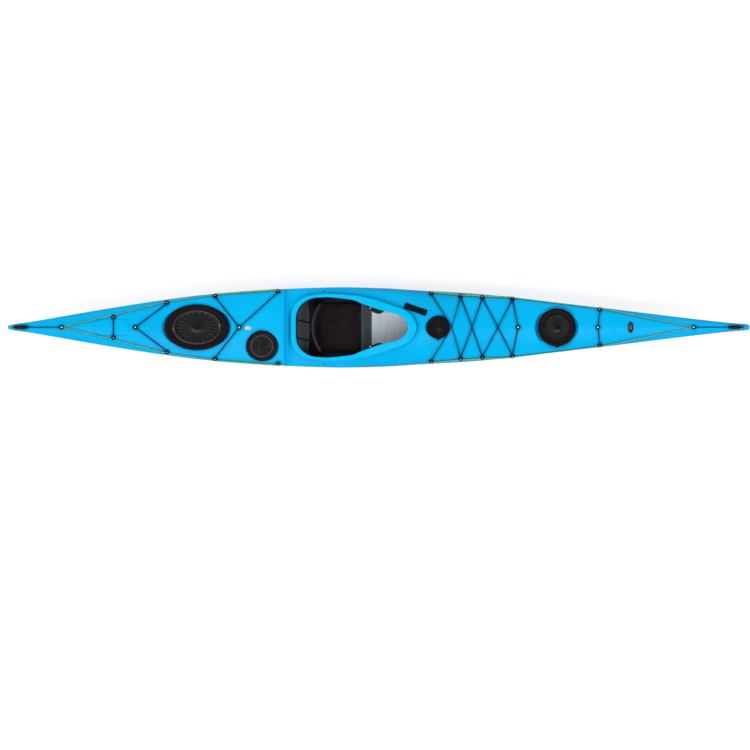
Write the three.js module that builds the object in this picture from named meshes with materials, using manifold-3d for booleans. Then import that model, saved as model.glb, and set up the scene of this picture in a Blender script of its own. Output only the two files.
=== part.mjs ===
import * as THREE from 'three';
import { mergeVertices } from 'three/addons/utils/BufferGeometryUtils.js';
import Module from 'manifold-3d';

// A sea kayak in millimetres: x runs to the bow, y to port and z up from the flat of the keel.
const wasm = await Module();
wasm.setup();

// Overall sizes
const LENGTH = 5200;
const BEAM = 566;
const HEIGHT = 414;
const SKIN = 5;
const KEEL_FLAT = 44;
const GAP = 0.3;
const OVERRUN = 60;

// Hull lines: [station along the length from the stern, share of HEIGHT]
const KEEL_SHARES = [
  [0, 0.785], [0.018, 0.49], [0.036, 0.23], [0.0415, 0.2], [0.08, 0.186], [0.114, 0.176],
  [0.135, 0.137], [0.183, 0.118], [0.234, 0.09], [0.293, 0.046], [0.35, 0.012], [0.398, 0],
  [0.6, 0], [0.695, 0.017], [0.751, 0.034], [0.803, 0.057], [0.853, 0.088], [0.8835, 0.13],
  [0.9006, 0.168], [0.912, 0.225], [0.928, 0.349], [0.961, 0.605], [0.995, 0.865], [1, 0.906],
];
const SHEER_SHARES = [
  [0, 0.79], [0.013, 0.768], [0.035, 0.735], [0.0745, 0.65], [0.131, 0.542], [0.1656, 0.493],
  [0.2, 0.467], [0.263, 0.445], [0.4, 0.4], [0.5815, 0.35], [0.695, 0.41], [0.803, 0.51],
  [0.8695, 0.67], [0.924, 0.765], [0.97, 0.884], [1, 0.937],
];
const RIDGE_SHARES = [
  [0, 0.807], [0.028, 0.791], [0.071, 0.737], [0.131, 0.662], [0.2, 0.576], [0.24, 0.556],
  [0.345, 0.558], [0.368, 0.564], [0.3765, 0.543], [0.382, 0.507], [0.4, 0.498], [0.445, 0.495],
  [0.463, 0.536], [0.5, 0.6425], [0.5515, 0.715], [0.5685, 0.717], [0.6, 0.739], [0.62, 0.694],
  [0.657, 0.652], [0.695, 0.628], [0.7155, 0.623], [0.7235, 0.6], [0.7785, 0.635],
  [0.8025, 0.66], [0.8145, 0.662], [0.8205, 0.698], [0.85, 0.728], [0.912, 0.852],
  [0.971, 0.964], [0.9975, 1], [1, 0.966],
];
// [station, share of half the beam]
const BREADTH_SHARES = [
  [0, 0.035], [0.0014, 0.05], [0.034, 0.148], [0.096, 0.347], [0.15, 0.515], [0.204, 0.67],
  [0.2585, 0.8], [0.3125, 0.89], [0.367, 0.95], [0.421, 0.99], [0.448, 1], [0.502, 0.98],
  [0.556, 0.922], [0.61, 0.868], [0.6645, 0.785], [0.7185, 0.67], [0.7725, 0.553],
  [0.8265, 0.433], [0.881, 0.307], [0.935, 0.187], [0.9715, 0.113], [0.996, 0.074], [1, 0.042],
];
// [station, power of the section's curve]: a high one is boxy, a low one is sharp
const HULL_POWER_SHARES = [
  [0, 1.15], [0.12, 1.35], [0.3, 1.9], [0.45, 2.3], [0.6, 2.1], [0.75, 1.6], [0.88, 1.25], [1, 1.15],
];
const DECK_POWER_SHARES = [
  [0, 1.8], [0.13, 1.6], [0.28, 1.75], [0.37, 2.3], [0.45, 2.3], [0.56, 1.85], [0.65, 1.65],
  [0.8, 1.6], [0.9, 1.7], [1, 1.8],
];
const KEEL_FLAT_SHARE = 0.4;
const STATION_SHARES = [
  0, 0.008, 0.02, 0.036, 0.0415, 0.075, 0.114, 0.135, 0.183, 0.234, 0.293, 0.345, 0.368, 0.3765,
  0.382, 0.41, 0.445, 0.463, 0.48, 0.5, 0.525, 0.5515, 0.58, 0.6, 0.61, 0.62, 0.6385, 0.657,
  0.695, 0.7155, 0.7235, 0.75, 0.7785, 0.8145, 0.8205, 0.85, 0.8835, 0.9006, 0.915, 0.93, 0.95,
  0.975, 0.995, 1,
];
const HOLLOW_SHARES = [
  0.04, 0.075, 0.114, 0.135, 0.2, 0.25, 0.3, 0.345, 0.368, 0.3765, 0.382, 0.41, 0.445, 0.463,
  0.5, 0.5515, 0.6, 0.61, 0.62, 0.6385, 0.657, 0.695, 0.7155, 0.7235, 0.7785, 0.8145, 0.8205,
  0.85, 0.9, 0.95,
];
const HULL_STEPS = 5;
const DECK_STEPS = 5;

// Cockpit: the coaming's rows run from the rear centre round port to the front centre
const COCKPIT_REAR = -579;
const COCKPIT_LENGTH = 785;
const COCKPIT_SIDE_DECK = 72;
const LIP_REAR = -615;
const LIP_LENGTH = 886;
const LIP_SIDE_DECK = 44;
const LIP_THICKNESS = 8;
const LIP_DROP = 17;
const LIP_EDGE = 9;
const COAMING_WALL = 8;
const COAMING_LOOP = 36;
// [opening's length, opening's half width, lip's length, lip's half width]
const COAMING_SHARES = [
  [0, 0, 0, 0], [0, 0.33, 0, 0.35], [0.019, 0.61, 0.016, 0.6], [0.061, 0.8, 0.056, 0.79],
  [0.133, 0.95, 0.119, 0.91], [0.26, 1, 0.25, 0.99], [0.392, 0.966, 0.38, 0.985],
  [0.514, 0.9, 0.49, 0.945], [0.58, 0.8, 0.58, 0.895], [0.684, 0.66, 0.7, 0.775],
  [0.781, 0.545, 0.8, 0.645], [0.902, 0.434, 0.91, 0.49], [0.966, 0.28, 0.97, 0.28], [1, 0, 1, 0],
];
// [share of the lip's length, share of HEIGHT]
const LIP_TOP_SHARES = [
  [0, 0.6], [0.05, 0.608], [0.25, 0.587], [0.363, 0.598], [0.475, 0.632], [0.586, 0.69],
  [0.697, 0.742], [0.81, 0.781], [0.885, 0.796], [1, 0.813],
];

// Hatches: place as [share of LENGTH from midship, share of BEAM to port, share of HEIGHT]
const HATCHES = {
  bow_hatch: { placeShares: [0.2413, 0, 0.575], pitch: 4, roll: 0, radius: 137, lengthShare: 1 },
  stern_hatch: { placeShares: [-0.2456, 0, 0.533], pitch: 0, roll: 0, radius: 157, lengthShare: 1.43 },
  day_hatch: { placeShares: [-0.1577, -0.23, 0.525], pitch: 0, roll: 9, radius: 106, lengthShare: 1 },
  pod_hatch: { placeShares: [0.0808, 0, 0.716], pitch: 8, roll: 0, radius: 76, lengthShare: 1 },
};
const HATCH_SIDES = 16;
const HATCH_RECESS = 26;
const SEAT_MARGIN = 5;
const COLLAR_DEPTH = 44;
const RIM_WALL = 4;
const RIM_CLEAR = 1;
const RIM_FLANGE = 4;
const RIM_DEPTH = 18;
const RIM_RISE = 9;
const RIM_BEAD = 3;
const COVER_EDGE = 10;
const COVER_TOP = 15;
const COVER_BEVEL = 9;
const POD_DEPTH = 110;

// Bulkheads
const BULKHEAD = 6;
const BOW_BULKHEAD_SHARE = 0.1577;
const STERN_BULKHEAD_SHARE = -0.1904;
const COCKPIT_BULKHEAD_TOP_X = -578;
const COCKPIT_BULKHEAD_FOOT_X = -492;

// Skeg: the blade's outline runs along its length and across it, from the pivot's centre
const SKEG_PIVOT_SHARES = [-0.36615, 0.2343];
const SKEG_DOWN_DEGREES = 54.5;
const SKEG_LENGTH = 356;
const SKEG_CHORD = 86;
const SKEG_HEAD = 22;
const SKEG_THICKNESS = 9;
const SKEG_OUTLINE_SHARES = [
  [0, -0.256], [0.958, -0.256], [1, -0.21], [0.983, 0.095], [0.893, 0.436], [0.813, 0.613],
  [0.737, 0.71], [0.595, 0.745], [0.427, 0.735], [0.274, 0.4], [0.15, 0.27], [0, 0.256],
];
const SKEG_PIN_RADIUS = 4;
const SKEG_PIN_PROUD = 3;
const SKEG_HEAD_STEPS = 6;
const ROUND_SIDES = 12;
const SKEG_SLOT = 16;
const SKEG_BOX_WALL = 3;
const SKEG_BOX_AFT = 372;
const SKEG_BOX_FORE = 32;
const SKEG_BOX_TOP = 178;

// Skeg control on the port side of the foredeck
const CONTROL_SHARES = [0.0502, 0.2244];
const CONTROL_HEADING = -21.2;
const CONTROL_LENGTH = 166;
const CONTROL_WIDTH = 45;
const CONTROL_DEPTH = 20;
const CONTROL_PROUD = 3;
const CONTROL_CHANNEL_LENGTH = 142;
const CONTROL_CHANNEL_WIDTH = 16;
const CONTROL_CHANNEL_DEPTH = 14;
const KNOB_LENGTH = 28;
const KNOB_WIDTH = 26;
const KNOB_RISE = 9;
const KNOB_STEM = 10;
const SLIDER_TRAVEL = 100;
const CABLE_RADIUS = 4;
const CABLE_STEPS = 24;
// Shares of LENGTH from midship, of half the beam to port and of HEIGHT
const CABLE_SHARES = [
  [0.0394, 0.523, 0.536], [0.0288, 0.654, 0.495], [0.0115, 0.784, 0.44], [-0.0115, 0.862, 0.391],
  [-0.0385, 0.89, 0.367], [-0.0692, 0.898, 0.357], [-0.1, 0.89, 0.353], [-0.1346, 0.848, 0.353],
  [-0.1654, 0.784, 0.353], [-0.1923, 0.717, 0.348], [-0.2212, 0.636, 0.343], [-0.25, 0.548, 0.333],
  [-0.2788, 0.442, 0.321], [-0.3077, 0.311, 0.307], [-0.3327, 0.17, 0.295], [-0.35, 0.064, 0.29],
  [-0.3592, 0.011, 0.29],
];

// Seat
const SEAT_REAR = -455;
const SEAT_FRONT = -122;
const SEAT_SIDE_SPACE = 55;
const SEAT_TOP_SHARE = 0.459;
const SEAT_WALL = 5;
const SEAT_POWER = 2.6;
const PAD_REAR = -440;
const PAD_FRONT = -130;
const PAD_SIDE_SPACE = 51;
const PAD_RISE = 72;
const PAD_CROWN = 12;
const PAD_SPACE = 0.3;
const PAD_EDGE = 10;
const PAD_ROWS = 6;
const PAD_STEPS = 6;
const PAD_FLATNESS = 6;
const PAD_END_SHARE = 0.35;
const PAD_TAPER_SHARE = 0.07;
const TROUGH_STEPS = 7;
const HIP_REAR = -410;
const HIP_FRONT = -195;
const HIP_THICKNESS = 44;
const HIP_FOOT = 78;
const HIP_TOP = 166;

// Backband and its strap
const BAND_CENTRE_X = -470;
const BAND_SIDE_SPACE = 60;
const BAND_SWEEP = 58;
const BAND_THICKNESS = 18;
const BAND_FOOT = 108;
const BAND_TOP = 296;
const BAND_SHOULDER = 210;
const BAND_STEPS = 8;
const STRAP_THICKNESS = 2.5;
const STRAP_FOOT = 184;
const STRAP_HEIGHT = 30;
const STRAP_END_X = -268;
const STRAP_END_SPACE = 38;

// Thigh braces under the sides of the coaming
const BRACE_THICKNESS = 9;
const BRACE_PITCH = 11;
const BRACE_DROP = 16;
const BRACE_REAR_SHARE = 0.595;
const BRACE_LENGTH = 150;
const BRACE_REACH = 58;
const BRACE_ROOT = 13;
// [share of the length, share of the reach in from the root line]
const BRACE_SHARES = [
  [0, 0.05], [0.1, 0.42], [0.35, 0.78], [0.7, 1], [0.9, 0.98], [1, 0.8], [1, 0.1], [0.5, 0],
];

// Footrests
const RAIL_PLACE_SHARE = 0.0481;
const RAIL_LENGTH = 400;
const RAIL_OUT_SHARE = 0.7915;
const RAIL_YAW = 3.2;
const RAIL_RISE_SHARE = 0.2657;
const RAIL_HEIGHT = 30;
const RAIL_THICKNESS = 12;
const RAIL_BACK = 40;
const PEG_OFFSET = 175;
const PEG_LENGTH = 60;
const PEG_BLOCK = 12;
const PEG_BLOCK_HEIGHT = 40;
const PEDAL_THICKNESS = 9;
const PEDAL_WIDTH = 78;
const PEDAL_HEIGHT = 96;
const PEDAL_LIFT = 6;

// Deck fittings, in pairs: [letter, share of LENGTH from the stern, share of half the beam]
const FITTING_SHARES = [
  ['a', 0.1417, 0.247], ['b', 0.2137, 0.604], ['c', 0.2788, 0.775], ['d', 0.3644, 0.887],
  ['e', 0.571, 0.827], ['f', 0.6108, 0.76], ['g', 0.6404, 0.73], ['h', 0.681, 0.7],
  ['i', 0.7992, 0.433],
];
const RING_SHARES = { stern: 0.0721, paddle: 0.171, aft: 0.3117, fore: 0.6885, cross: 0.7964, bow: 0.9252 };
const FITTING_RADIUS = 16;
const FITTING_HEIGHT = 14.5;
const FITTING_BEVEL = 2.5;
const FITTING_SIDES = 10;
const BOLT_RADIUS = 5;
const BOLT_RISE = 1.5;
const CORD_RADIUS = 3;
const CORD_SIDES = 6;
const CORD_RISE = 5.2;
const CORD_CLEAR = 2;
const CORD_STEP = 80;
const CORD_LAP = 3;
const LINE_OUT = 8;
const LINE_EDGE = 14;
const BUNGEE_IN = 7.5;
const CROSSING_RISE = 7.5;
const BUNGEE_LIFT = 5;
const RIDGE_X = 513;
const RIDGE_RISE = 20;
const CAP_FLOOR = 10.5;
const POST_LENGTH = 10;
const POST_WIDTH = 3.2;

// Toggles at the ends
const TOGGLE_LENGTH = 96;
const TOGGLE_RADIUS = 15;
const TOGGLE_CLEAR = 2;
const TOGGLE_EYE = 8;
const EYE_CLEAR = 2.2;
const STERN_LOOP_IN = 47;
const BOW_LOOP_IN = 59;
const LOOP_RADIUS = 21;
const LOOP_CORD = 3;
const LOOP_STEPS = 12;

const HALF_BEAM = BEAM / 2;
const STERN_LOOP_X = STERN_LOOP_IN - LENGTH / 2;
const BOW_LOOP_X = LENGTH / 2 - BOW_LOOP_IN;
const COCKPIT_WIDTH = BEAM - 2 * COCKPIT_SIDE_DECK;
const LIP_WIDTH = BEAM - 2 * LIP_SIDE_DECK;
const SEAT_HALF = HALF_BEAM - SEAT_SIDE_SPACE;
const SEAT_TOP = HEIGHT * SEAT_TOP_SHARE;
const BAND_HALF = SEAT_HALF - BAND_SIDE_SPACE;
const STRAP_END_Y = BAND_HALF + STRAP_END_SPACE;
const SKEG_PIVOT_X = SKEG_PIVOT_SHARES[0] * LENGTH;
const SKEG_PIVOT_Z = SKEG_PIVOT_SHARES[1] * HEIGHT;
const degrees = THREE.MathUtils.degToRad;

const finish = (color, roughness, metalness = 0) =>
  new THREE.MeshStandardMaterial({ color, roughness, metalness });
const BLUE = finish(0x00aeea, 0.3);
const GREY = finish(0x39434a, 0.6);
const BLACK = finish(0x1d1c1f, 0.5);
const RUBBER = finish(0x2a2428, 0.75);
const FOAM = finish(0x25201f, 0.9);
const CORD = finish(0x101418, 0.8);
const LINE = finish(0x9cc62f, 0.7);
const STEEL = finish(0xb9bec2, 0.3, 1);

// Curves through tables, with no overshoot between rows
function slopeAt(table, row) {
  const rise = (a, b) => (table[b][1] - table[a][1]) / (table[b][0] - table[a][0]);
  if (row === 0) return rise(0, 1);
  if (row === table.length - 1) return rise(row - 1, row);
  const before = rise(row - 1, row);
  const after = rise(row, row + 1);
  return before * after <= 0 ? 0 : (2 * before * after) / (before + after);
}

function valueAt(table, place) {
  const found = table.findIndex((row) => row[0] >= place);
  const last = found < 0 ? table.length - 1 : Math.max(found, 1);
  const [start, low] = table[last - 1];
  const [end, high] = table[last];
  const span = end - start;
  const t = THREE.MathUtils.clamp((place - start) / span, 0, 1);
  const pull = slopeAt(table, last - 1) * span * (t ** 3 - 2 * t ** 2 + t);
  const push = slopeAt(table, last) * span * (t ** 3 - t ** 2);
  const blend = 3 * t ** 2 - 2 * t ** 3;
  return low * (1 - blend) + high * blend + pull + push;
}

// Solids
function solid(geometry) {
  const bare = geometry.clone();
  bare.deleteAttribute('normal');
  bare.deleteAttribute('uv');
  const merged = mergeVertices(bare);
  const triVerts = Uint32Array.from(merged.index.array);
  const make = () => new wasm.Manifold(new wasm.Mesh({
    numProp: 3, vertProperties: merged.attributes.position.array, triVerts,
  }));
  const made = make();
  if (made.volume() > 0) return made;
  for (let i = 0; i < triVerts.length; i += 3) {
    [triVerts[i + 1], triVerts[i + 2]] = [triVerts[i + 2], triVerts[i + 1]];
  }
  return make();
}

function toGeometry(body) {
  const mesh = body.getMesh();
  const geometry = new THREE.BufferGeometry();
  geometry.setAttribute('position', new THREE.BufferAttribute(mesh.vertProperties, 3));
  geometry.setIndex(new THREE.BufferAttribute(mesh.triVerts, 1));
  geometry.computeVertexNormals();
  return geometry;
}

const joined = (bodies) => bodies.reduce((sum, body) => sum.add(body));

function block(x0, x1, y0, y1, z0, z1) {
  const box = new THREE.BoxGeometry(x1 - x0, y1 - y0, z1 - z0);
  return box.translate((x0 + x1) / 2, (y0 + y1) / 2, (z0 + z1) / 2);
}

// A prism that stands on an outline in the xy plane
function prism(points, low, high) {
  const shape = new THREE.Shape(points.map(([x, y]) => new THREE.Vector2(x, y)));
  const made = new THREE.ExtrudeGeometry(shape, { depth: high - low, bevelEnabled: false });
  return made.translate(0, 0, low);
}

// A turned body about z from [radius, height] rows
function turned(rows, sides, close = false) {
  const profile = rows.map(([radius, height]) => new THREE.Vector2(radius, height));
  if (close) profile.push(profile[0].clone());
  return new THREE.LatheGeometry(profile, sides).rotateX(Math.PI / 2);
}

function tube(points, radius, steps, sides = CORD_SIDES) {
  const corner = (i) => new THREE.Vector2(
    radius * Math.cos((2 * Math.PI * i) / sides), radius * Math.sin((2 * Math.PI * i) / sides));
  const shape = new THREE.Shape(Array.from({ length: sides }, (_, i) => corner(i)));
  const extrudePath = new THREE.CatmullRomCurve3(points);
  return new THREE.ExtrudeGeometry(shape, { steps, extrudePath, bevelEnabled: false });
}

// A round bar that lies across the boat
function rod(radius, length) {
  return new THREE.CylinderGeometry(radius, radius, length, ROUND_SIDES);
}

// A closed body through rings of points, capped at both ends or closed on itself
function loft(rings, endless = false) {
  const count = rings[0].length;
  const positions = rings.flat(2);
  const index = [];
  const quad = (a, b, c, d) => index.push(a, b, c, a, c, d);
  const last = endless ? rings.length : rings.length - 1;
  for (let r = 0; r < last; r += 1) {
    const here = r * count;
    const there = ((r + 1) % rings.length) * count;
    for (let i = 0; i < count; i += 1) {
      const next = (i + 1) % count;
      quad(here + i, here + next, there + next, there + i);
    }
  }
  if (!endless) {
    capRing(rings[0], 0, positions, index, true);
    capRing(rings[last], last * count, positions, index, false);
  }
  const geometry = new THREE.BufferGeometry();
  geometry.setAttribute('position', new THREE.Float32BufferAttribute(positions, 3));
  geometry.setIndex(index);
  return geometry;
}

function capRing(ring, first, positions, index, flip) {
  const middle = [0, 1, 2].map((axis) => ring.reduce((sum, p) => sum + p[axis], 0) / ring.length);
  const centre = positions.length / 3;
  positions.push(...middle);
  ring.forEach((_, i) => {
    const next = (i + 1) % ring.length;
    index.push(centre, first + (flip ? next : i), first + (flip ? i : next));
  });
}

// Hull form
function section(share, inset = 0) {
  const half = Math.max(HALF_BEAM * valueAt(BREADTH_SHARES, share) - inset, GAP);
  return {
    x: (share - 0.5) * LENGTH,
    keel: HEIGHT * valueAt(KEEL_SHARES, share) + inset,
    sheer: HEIGHT * valueAt(SHEER_SHARES, share),
    ridge: HEIGHT * valueAt(RIDGE_SHARES, share) - inset,
    half,
    flat: Math.min(KEEL_FLAT / 2 - inset / 2, half * KEEL_FLAT_SHARE),
    hullPower: valueAt(HULL_POWER_SHARES, share),
    deckPower: valueAt(DECK_POWER_SHARES, share),
  };
}

// Points of one side from the keel up to the sheer, or from the sheer up to the ridge
function hullSide(cut, top) {
  return Array.from({ length: HULL_STEPS + 1 }, (_, i) => {
    const turn = (Math.PI / 2) * (1 - i / HULL_STEPS);
    const out = Math.cos(turn) ** (2 / cut.hullPower);
    const down = Math.sin(turn) ** (2 / cut.hullPower);
    const depth = (top - cut.keel) * (i === HULL_STEPS ? 0 : down);
    return [cut.flat + (cut.half - cut.flat) * (i === 0 ? 0 : out), top - depth];
  });
}

function deckSide(cut, foot) {
  return Array.from({ length: DECK_STEPS + 1 }, (_, i) => {
    const turn = (Math.PI / 2) * (i / DECK_STEPS);
    const out = i === DECK_STEPS ? 0 : Math.cos(turn) ** (2 / cut.deckPower);
    const up = i === 0 ? 0 : Math.sin(turn) ** (2 / cut.deckPower);
    return [cut.half * out, foot + (cut.ridge - foot) * up];
  });
}

const mirrored = (side) => side.map(([y, z]) => [-y, z]).reverse();
const ringAt = (x, points) => points.map(([y, z]) => [x, y, z]);

function lowerRing(cut, top, extra) {
  const side = hullSide(cut, top);
  if (extra) side.push([cut.half, top + extra]);
  return ringAt(cut.x, [...side, ...mirrored(side)]);
}

function upperRing(cut, foot, extra) {
  const side = deckSide(cut, foot);
  if (extra) side.unshift([cut.half, foot - extra]);
  return ringAt(cut.x, [...side, ...mirrored(side).slice(1)]);
}

function wholeRing(cut) {
  const side = [...hullSide(cut, cut.sheer), ...deckSide(cut, cut.sheer).slice(1)];
  return ringAt(cut.x, [...side, ...mirrored(side).slice(1)]);
}

function hullShell() {
  const outside = STATION_SHARES.map((share) => section(share));
  const inside = HOLLOW_SHARES.map((share) => section(share, SKIN));
  const skin = solid(loft(outside.map((cut) => lowerRing(cut, cut.sheer - GAP / 2, 0))));
  return skin.subtract(solid(loft(inside.map((cut) => lowerRing(cut, cut.sheer, OVERRUN)))));
}

function deckShell() {
  const outside = STATION_SHARES.map((share) => section(share));
  const inside = HOLLOW_SHARES.map((share) => section(share, SKIN));
  const skin = solid(loft(outside.map((cut) => upperRing(cut, cut.sheer + GAP / 2, 0))));
  return skin.subtract(solid(loft(inside.map((cut) => upperRing(cut, cut.sheer, OVERRUN)))));
}

const cavity = solid(loft(HOLLOW_SHARES.map((share) => wholeRing(section(share, SKIN + GAP)))));
const envelope = solid(loft(STATION_SHARES.map((share) => wholeRing(section(share, -GAP)))));
const outerForm = solid(loft(STATION_SHARES.map((share) => wholeRing(section(share)))));

function deckHeight(x, y) {
  const cut = section(x / LENGTH + 0.5);
  const out = Math.min(Math.abs(y) / cut.half, 1);
  return cut.sheer + (cut.ridge - cut.sheer) * (1 - out ** cut.deckPower) ** (1 / cut.deckPower);
}

// A frame on the deck: its z is the deck's normal and its x points along a heading
function deckFrame(x, y, heading = 0) {
  const reach = FITTING_RADIUS / 2;
  const slopeX = (deckHeight(x + reach, y) - deckHeight(x - reach, y)) / (2 * reach);
  const slopeY = (deckHeight(x, y + reach) - deckHeight(x, y - reach)) / (2 * reach);
  const up = new THREE.Vector3(-slopeX, -slopeY, 1).normalize();
  const along = new THREE.Vector3(Math.cos(heading), Math.sin(heading), 0);
  along.addScaledVector(up, -along.dot(up)).normalize();
  const across = up.clone().cross(along);
  return new THREE.Matrix4().makeBasis(along, across, up).setPosition(x, y, deckHeight(x, y));
}

const fromFrame = (frame, x, y, z) => new THREE.Vector3(x, y, z).applyMatrix4(frame);
const placed = (geometry, frame) => geometry.clone().applyMatrix4(frame);

// Coaming
function coamingRow([openX, openY, lipX, lipY], side) {
  const inner = [COCKPIT_REAR + openX * COCKPIT_LENGTH, (side * openY * COCKPIT_WIDTH) / 2];
  const outer = [LIP_REAR + lipX * LIP_LENGTH, (side * lipY * LIP_WIDTH) / 2];
  return { inner, outer };
}

function loopPoints(pick) {
  const port = COAMING_SHARES.map((row) => coamingRow(row, 1));
  const starboard = COAMING_SHARES.slice(1, -1).map((row) => coamingRow(row, -1)).reverse();
  const points = [...port, ...starboard].map((row) => new THREE.Vector3(...row[pick], 0));
  const curve = new THREE.CatmullRomCurve3(points, true);
  return Array.from({ length: COAMING_LOOP }, (_, i) => curve.getPoint(i / COAMING_LOOP));
}

const openingLoop = loopPoints('inner');
const lipLoop = loopPoints('outer');
const lipTop = (x) => HEIGHT * valueAt(LIP_TOP_SHARES, (x - LIP_REAR) / LIP_LENGTH);

function coamingRing(grow) {
  return openingLoop.map((edge, i) => {
    const rim = lipLoop[i];
    const out = rim.clone().sub(edge).normalize();
    const at = (from, distance) => from.clone().addScaledVector(out, distance);
    const inner = at(edge, -grow);
    const wall = at(edge, COAMING_WALL + grow);
    const turnIn = at(rim, -LIP_EDGE - grow);
    const outer = at(rim, grow);
    const foot = deckHeight(wall.x, wall.y) - SKIN - COAMING_WALL / 2 - grow;
    const top = lipTop(rim.x) + grow;
    const under = top - LIP_THICKNESS - 2 * grow;
    const drop = top - LIP_DROP - 2 * grow;
    return [
      [inner.x, inner.y, foot], [inner.x, inner.y, top], [outer.x, outer.y, top],
      [outer.x, outer.y, drop], [turnIn.x, turnIn.y, drop], [turnIn.x, turnIn.y, under],
      [wall.x, wall.y, under], [wall.x, wall.y, foot],
    ];
  });
}

const coaming = solid(loft(coamingRing(0), true));
const coamingKeepout = solid(loft(coamingRing(GAP), true));

function cockpitCut() {
  const mouth = openingLoop.map((edge, i) => {
    const out = lipLoop[i].clone().sub(edge).normalize();
    const point = edge.clone().addScaledVector(out, COAMING_WALL / 2);
    return [point.x, point.y];
  });
  return solid(prism(mouth, 0, HEIGHT + OVERRUN));
}

// Hatches
function hatchFrame({ placeShares: [along, across, up], pitch, roll }) {
  const turn = new THREE.Euler(degrees(roll), degrees(-pitch), 0);
  return new THREE.Matrix4().makeRotationFromEuler(turn)
    .setPosition(along * LENGTH, across * BEAM, up * HEIGHT);
}

function hatchTurned(hatch, rows, close) {
  const made = turned(rows, HATCH_SIDES, close).scale(hatch.lengthShare, 1, 1);
  return solid(placed(made, hatchFrame(hatch)));
}

const boreOf = (hatch) => hatch.radius - HATCH_RECESS;
const holeOf = (hatch) => boreOf(hatch) + RIM_WALL + GAP;
const seatOf = (hatch) => hatch.radius + SEAT_MARGIN;

function hatchSeat(hatch) {
  const flat = hatchTurned(hatch, [
    [holeOf(hatch), -COLLAR_DEPTH], [seatOf(hatch), -COLLAR_DEPTH], [seatOf(hatch), 0], [holeOf(hatch), 0],
  ], true);
  const wall = hatchTurned(hatch, [
    [seatOf(hatch) - GAP, -COLLAR_DEPTH], [seatOf(hatch) + SKIN, -COLLAR_DEPTH],
    [seatOf(hatch) + SKIN, COLLAR_DEPTH], [seatOf(hatch) - GAP, COLLAR_DEPTH],
  ], true);
  return { flat, wall: wall.intersect(outerForm) };
}

const hatchDisc = (hatch, radius, low, high) =>
  hatchTurned(hatch, [[0, low], [radius, low], [radius, high], [0, high]]);

function hatchCut(hatch) {
  const recess = hatchDisc(hatch, seatOf(hatch), 0, COLLAR_DEPTH + OVERRUN);
  return recess.add(hatchDisc(hatch, holeOf(hatch), -COLLAR_DEPTH, OVERRUN));
}

function rimRows(hatch) {
  const bore = boreOf(hatch);
  const outside = bore + RIM_WALL;
  const flange = seatOf(hatch) - RIM_CLEAR;
  return [
    [outside, GAP], [flange, GAP], [flange, RIM_FLANGE], [outside + RIM_BEAD, RIM_FLANGE],
    [outside + RIM_BEAD, RIM_RISE], [bore, RIM_RISE],
  ];
}

function hatchRim(hatch) {
  const bore = boreOf(hatch);
  const foot = [[bore, -RIM_DEPTH], [bore + RIM_WALL, -RIM_DEPTH]];
  return hatchTurned(hatch, [...foot, ...rimRows(hatch)], true);
}

function podTub(hatch) {
  const bore = boreOf(hatch);
  const floor = [[0, -POD_DEPTH], [bore + RIM_WALL, -POD_DEPTH]];
  const inside = [[bore, RIM_WALL - POD_DEPTH], [0, RIM_WALL - POD_DEPTH]];
  return hatchTurned(hatch, [...floor, ...rimRows(hatch), ...inside]);
}

function hatchCover(hatch) {
  const skirt = boreOf(hatch) + RIM_WALL + RIM_BEAD + 2 * GAP;
  const edge = hatch.radius;
  return hatchTurned(hatch, [
    [0, RIM_RISE + GAP], [skirt, RIM_RISE + GAP], [skirt, RIM_FLANGE + GAP], [edge, RIM_FLANGE + GAP],
    [edge, COVER_EDGE], [edge - COVER_BEVEL, COVER_TOP], [0, COVER_TOP],
  ]);
}

// Skeg
function skegBlade() {
  const outline = SKEG_OUTLINE_SHARES.map(([along, across]) => [-along * SKEG_LENGTH, across * SKEG_CHORD]);
  const head = Array.from({ length: SKEG_HEAD_STEPS - 1 }, (_, i) => {
    const turn = Math.PI / 2 - (Math.PI * (i + 1)) / SKEG_HEAD_STEPS;
    return [SKEG_HEAD * Math.cos(turn), SKEG_HEAD * Math.sin(turn)];
  });
  const flat = prism([...outline, ...head], -SKEG_THICKNESS / 2, SKEG_THICKNESS / 2);
  const blade = solid(flat).subtract(solid(rod(SKEG_PIN_RADIUS + GAP, OVERRUN).rotateX(Math.PI / 2)));
  const upright = toGeometry(blade).rotateX(Math.PI / 2).rotateY(-degrees(SKEG_DOWN_DEGREES));
  return solid(upright.translate(SKEG_PIVOT_X, 0, SKEG_PIVOT_Z));
}

function skegSlot() {
  const rear = SKEG_PIVOT_X - SKEG_BOX_AFT + SKEG_BOX_WALL;
  const front = SKEG_PIVOT_X + SKEG_BOX_FORE - SKEG_BOX_WALL;
  return solid(block(rear, front, -SKEG_SLOT / 2, SKEG_SLOT / 2, -OVERRUN, SKEG_BOX_TOP - SKEG_BOX_WALL));
}

function skegPin() {
  const length = SKEG_SLOT + 2 * (SKEG_BOX_WALL + SKEG_PIN_PROUD);
  return solid(rod(SKEG_PIN_RADIUS, length).translate(SKEG_PIVOT_X, 0, SKEG_PIVOT_Z));
}

function skegBox() {
  const half = SKEG_SLOT / 2 + SKEG_BOX_WALL;
  const outside = solid(block(SKEG_PIVOT_X - SKEG_BOX_AFT, SKEG_PIVOT_X + SKEG_BOX_FORE,
    -half, half, 0, SKEG_BOX_TOP));
  const bore = rod(SKEG_PIN_RADIUS + GAP, OVERRUN).translate(SKEG_PIVOT_X, 0, SKEG_PIVOT_Z);
  return outside.intersect(cavity).subtract(skegSlot()).subtract(solid(bore));
}

// Skeg control
const controlPlace = [CONTROL_SHARES[0] * LENGTH, CONTROL_SHARES[1] * BEAM];
const controlFrame = deckFrame(...controlPlace, degrees(CONTROL_HEADING));

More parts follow.
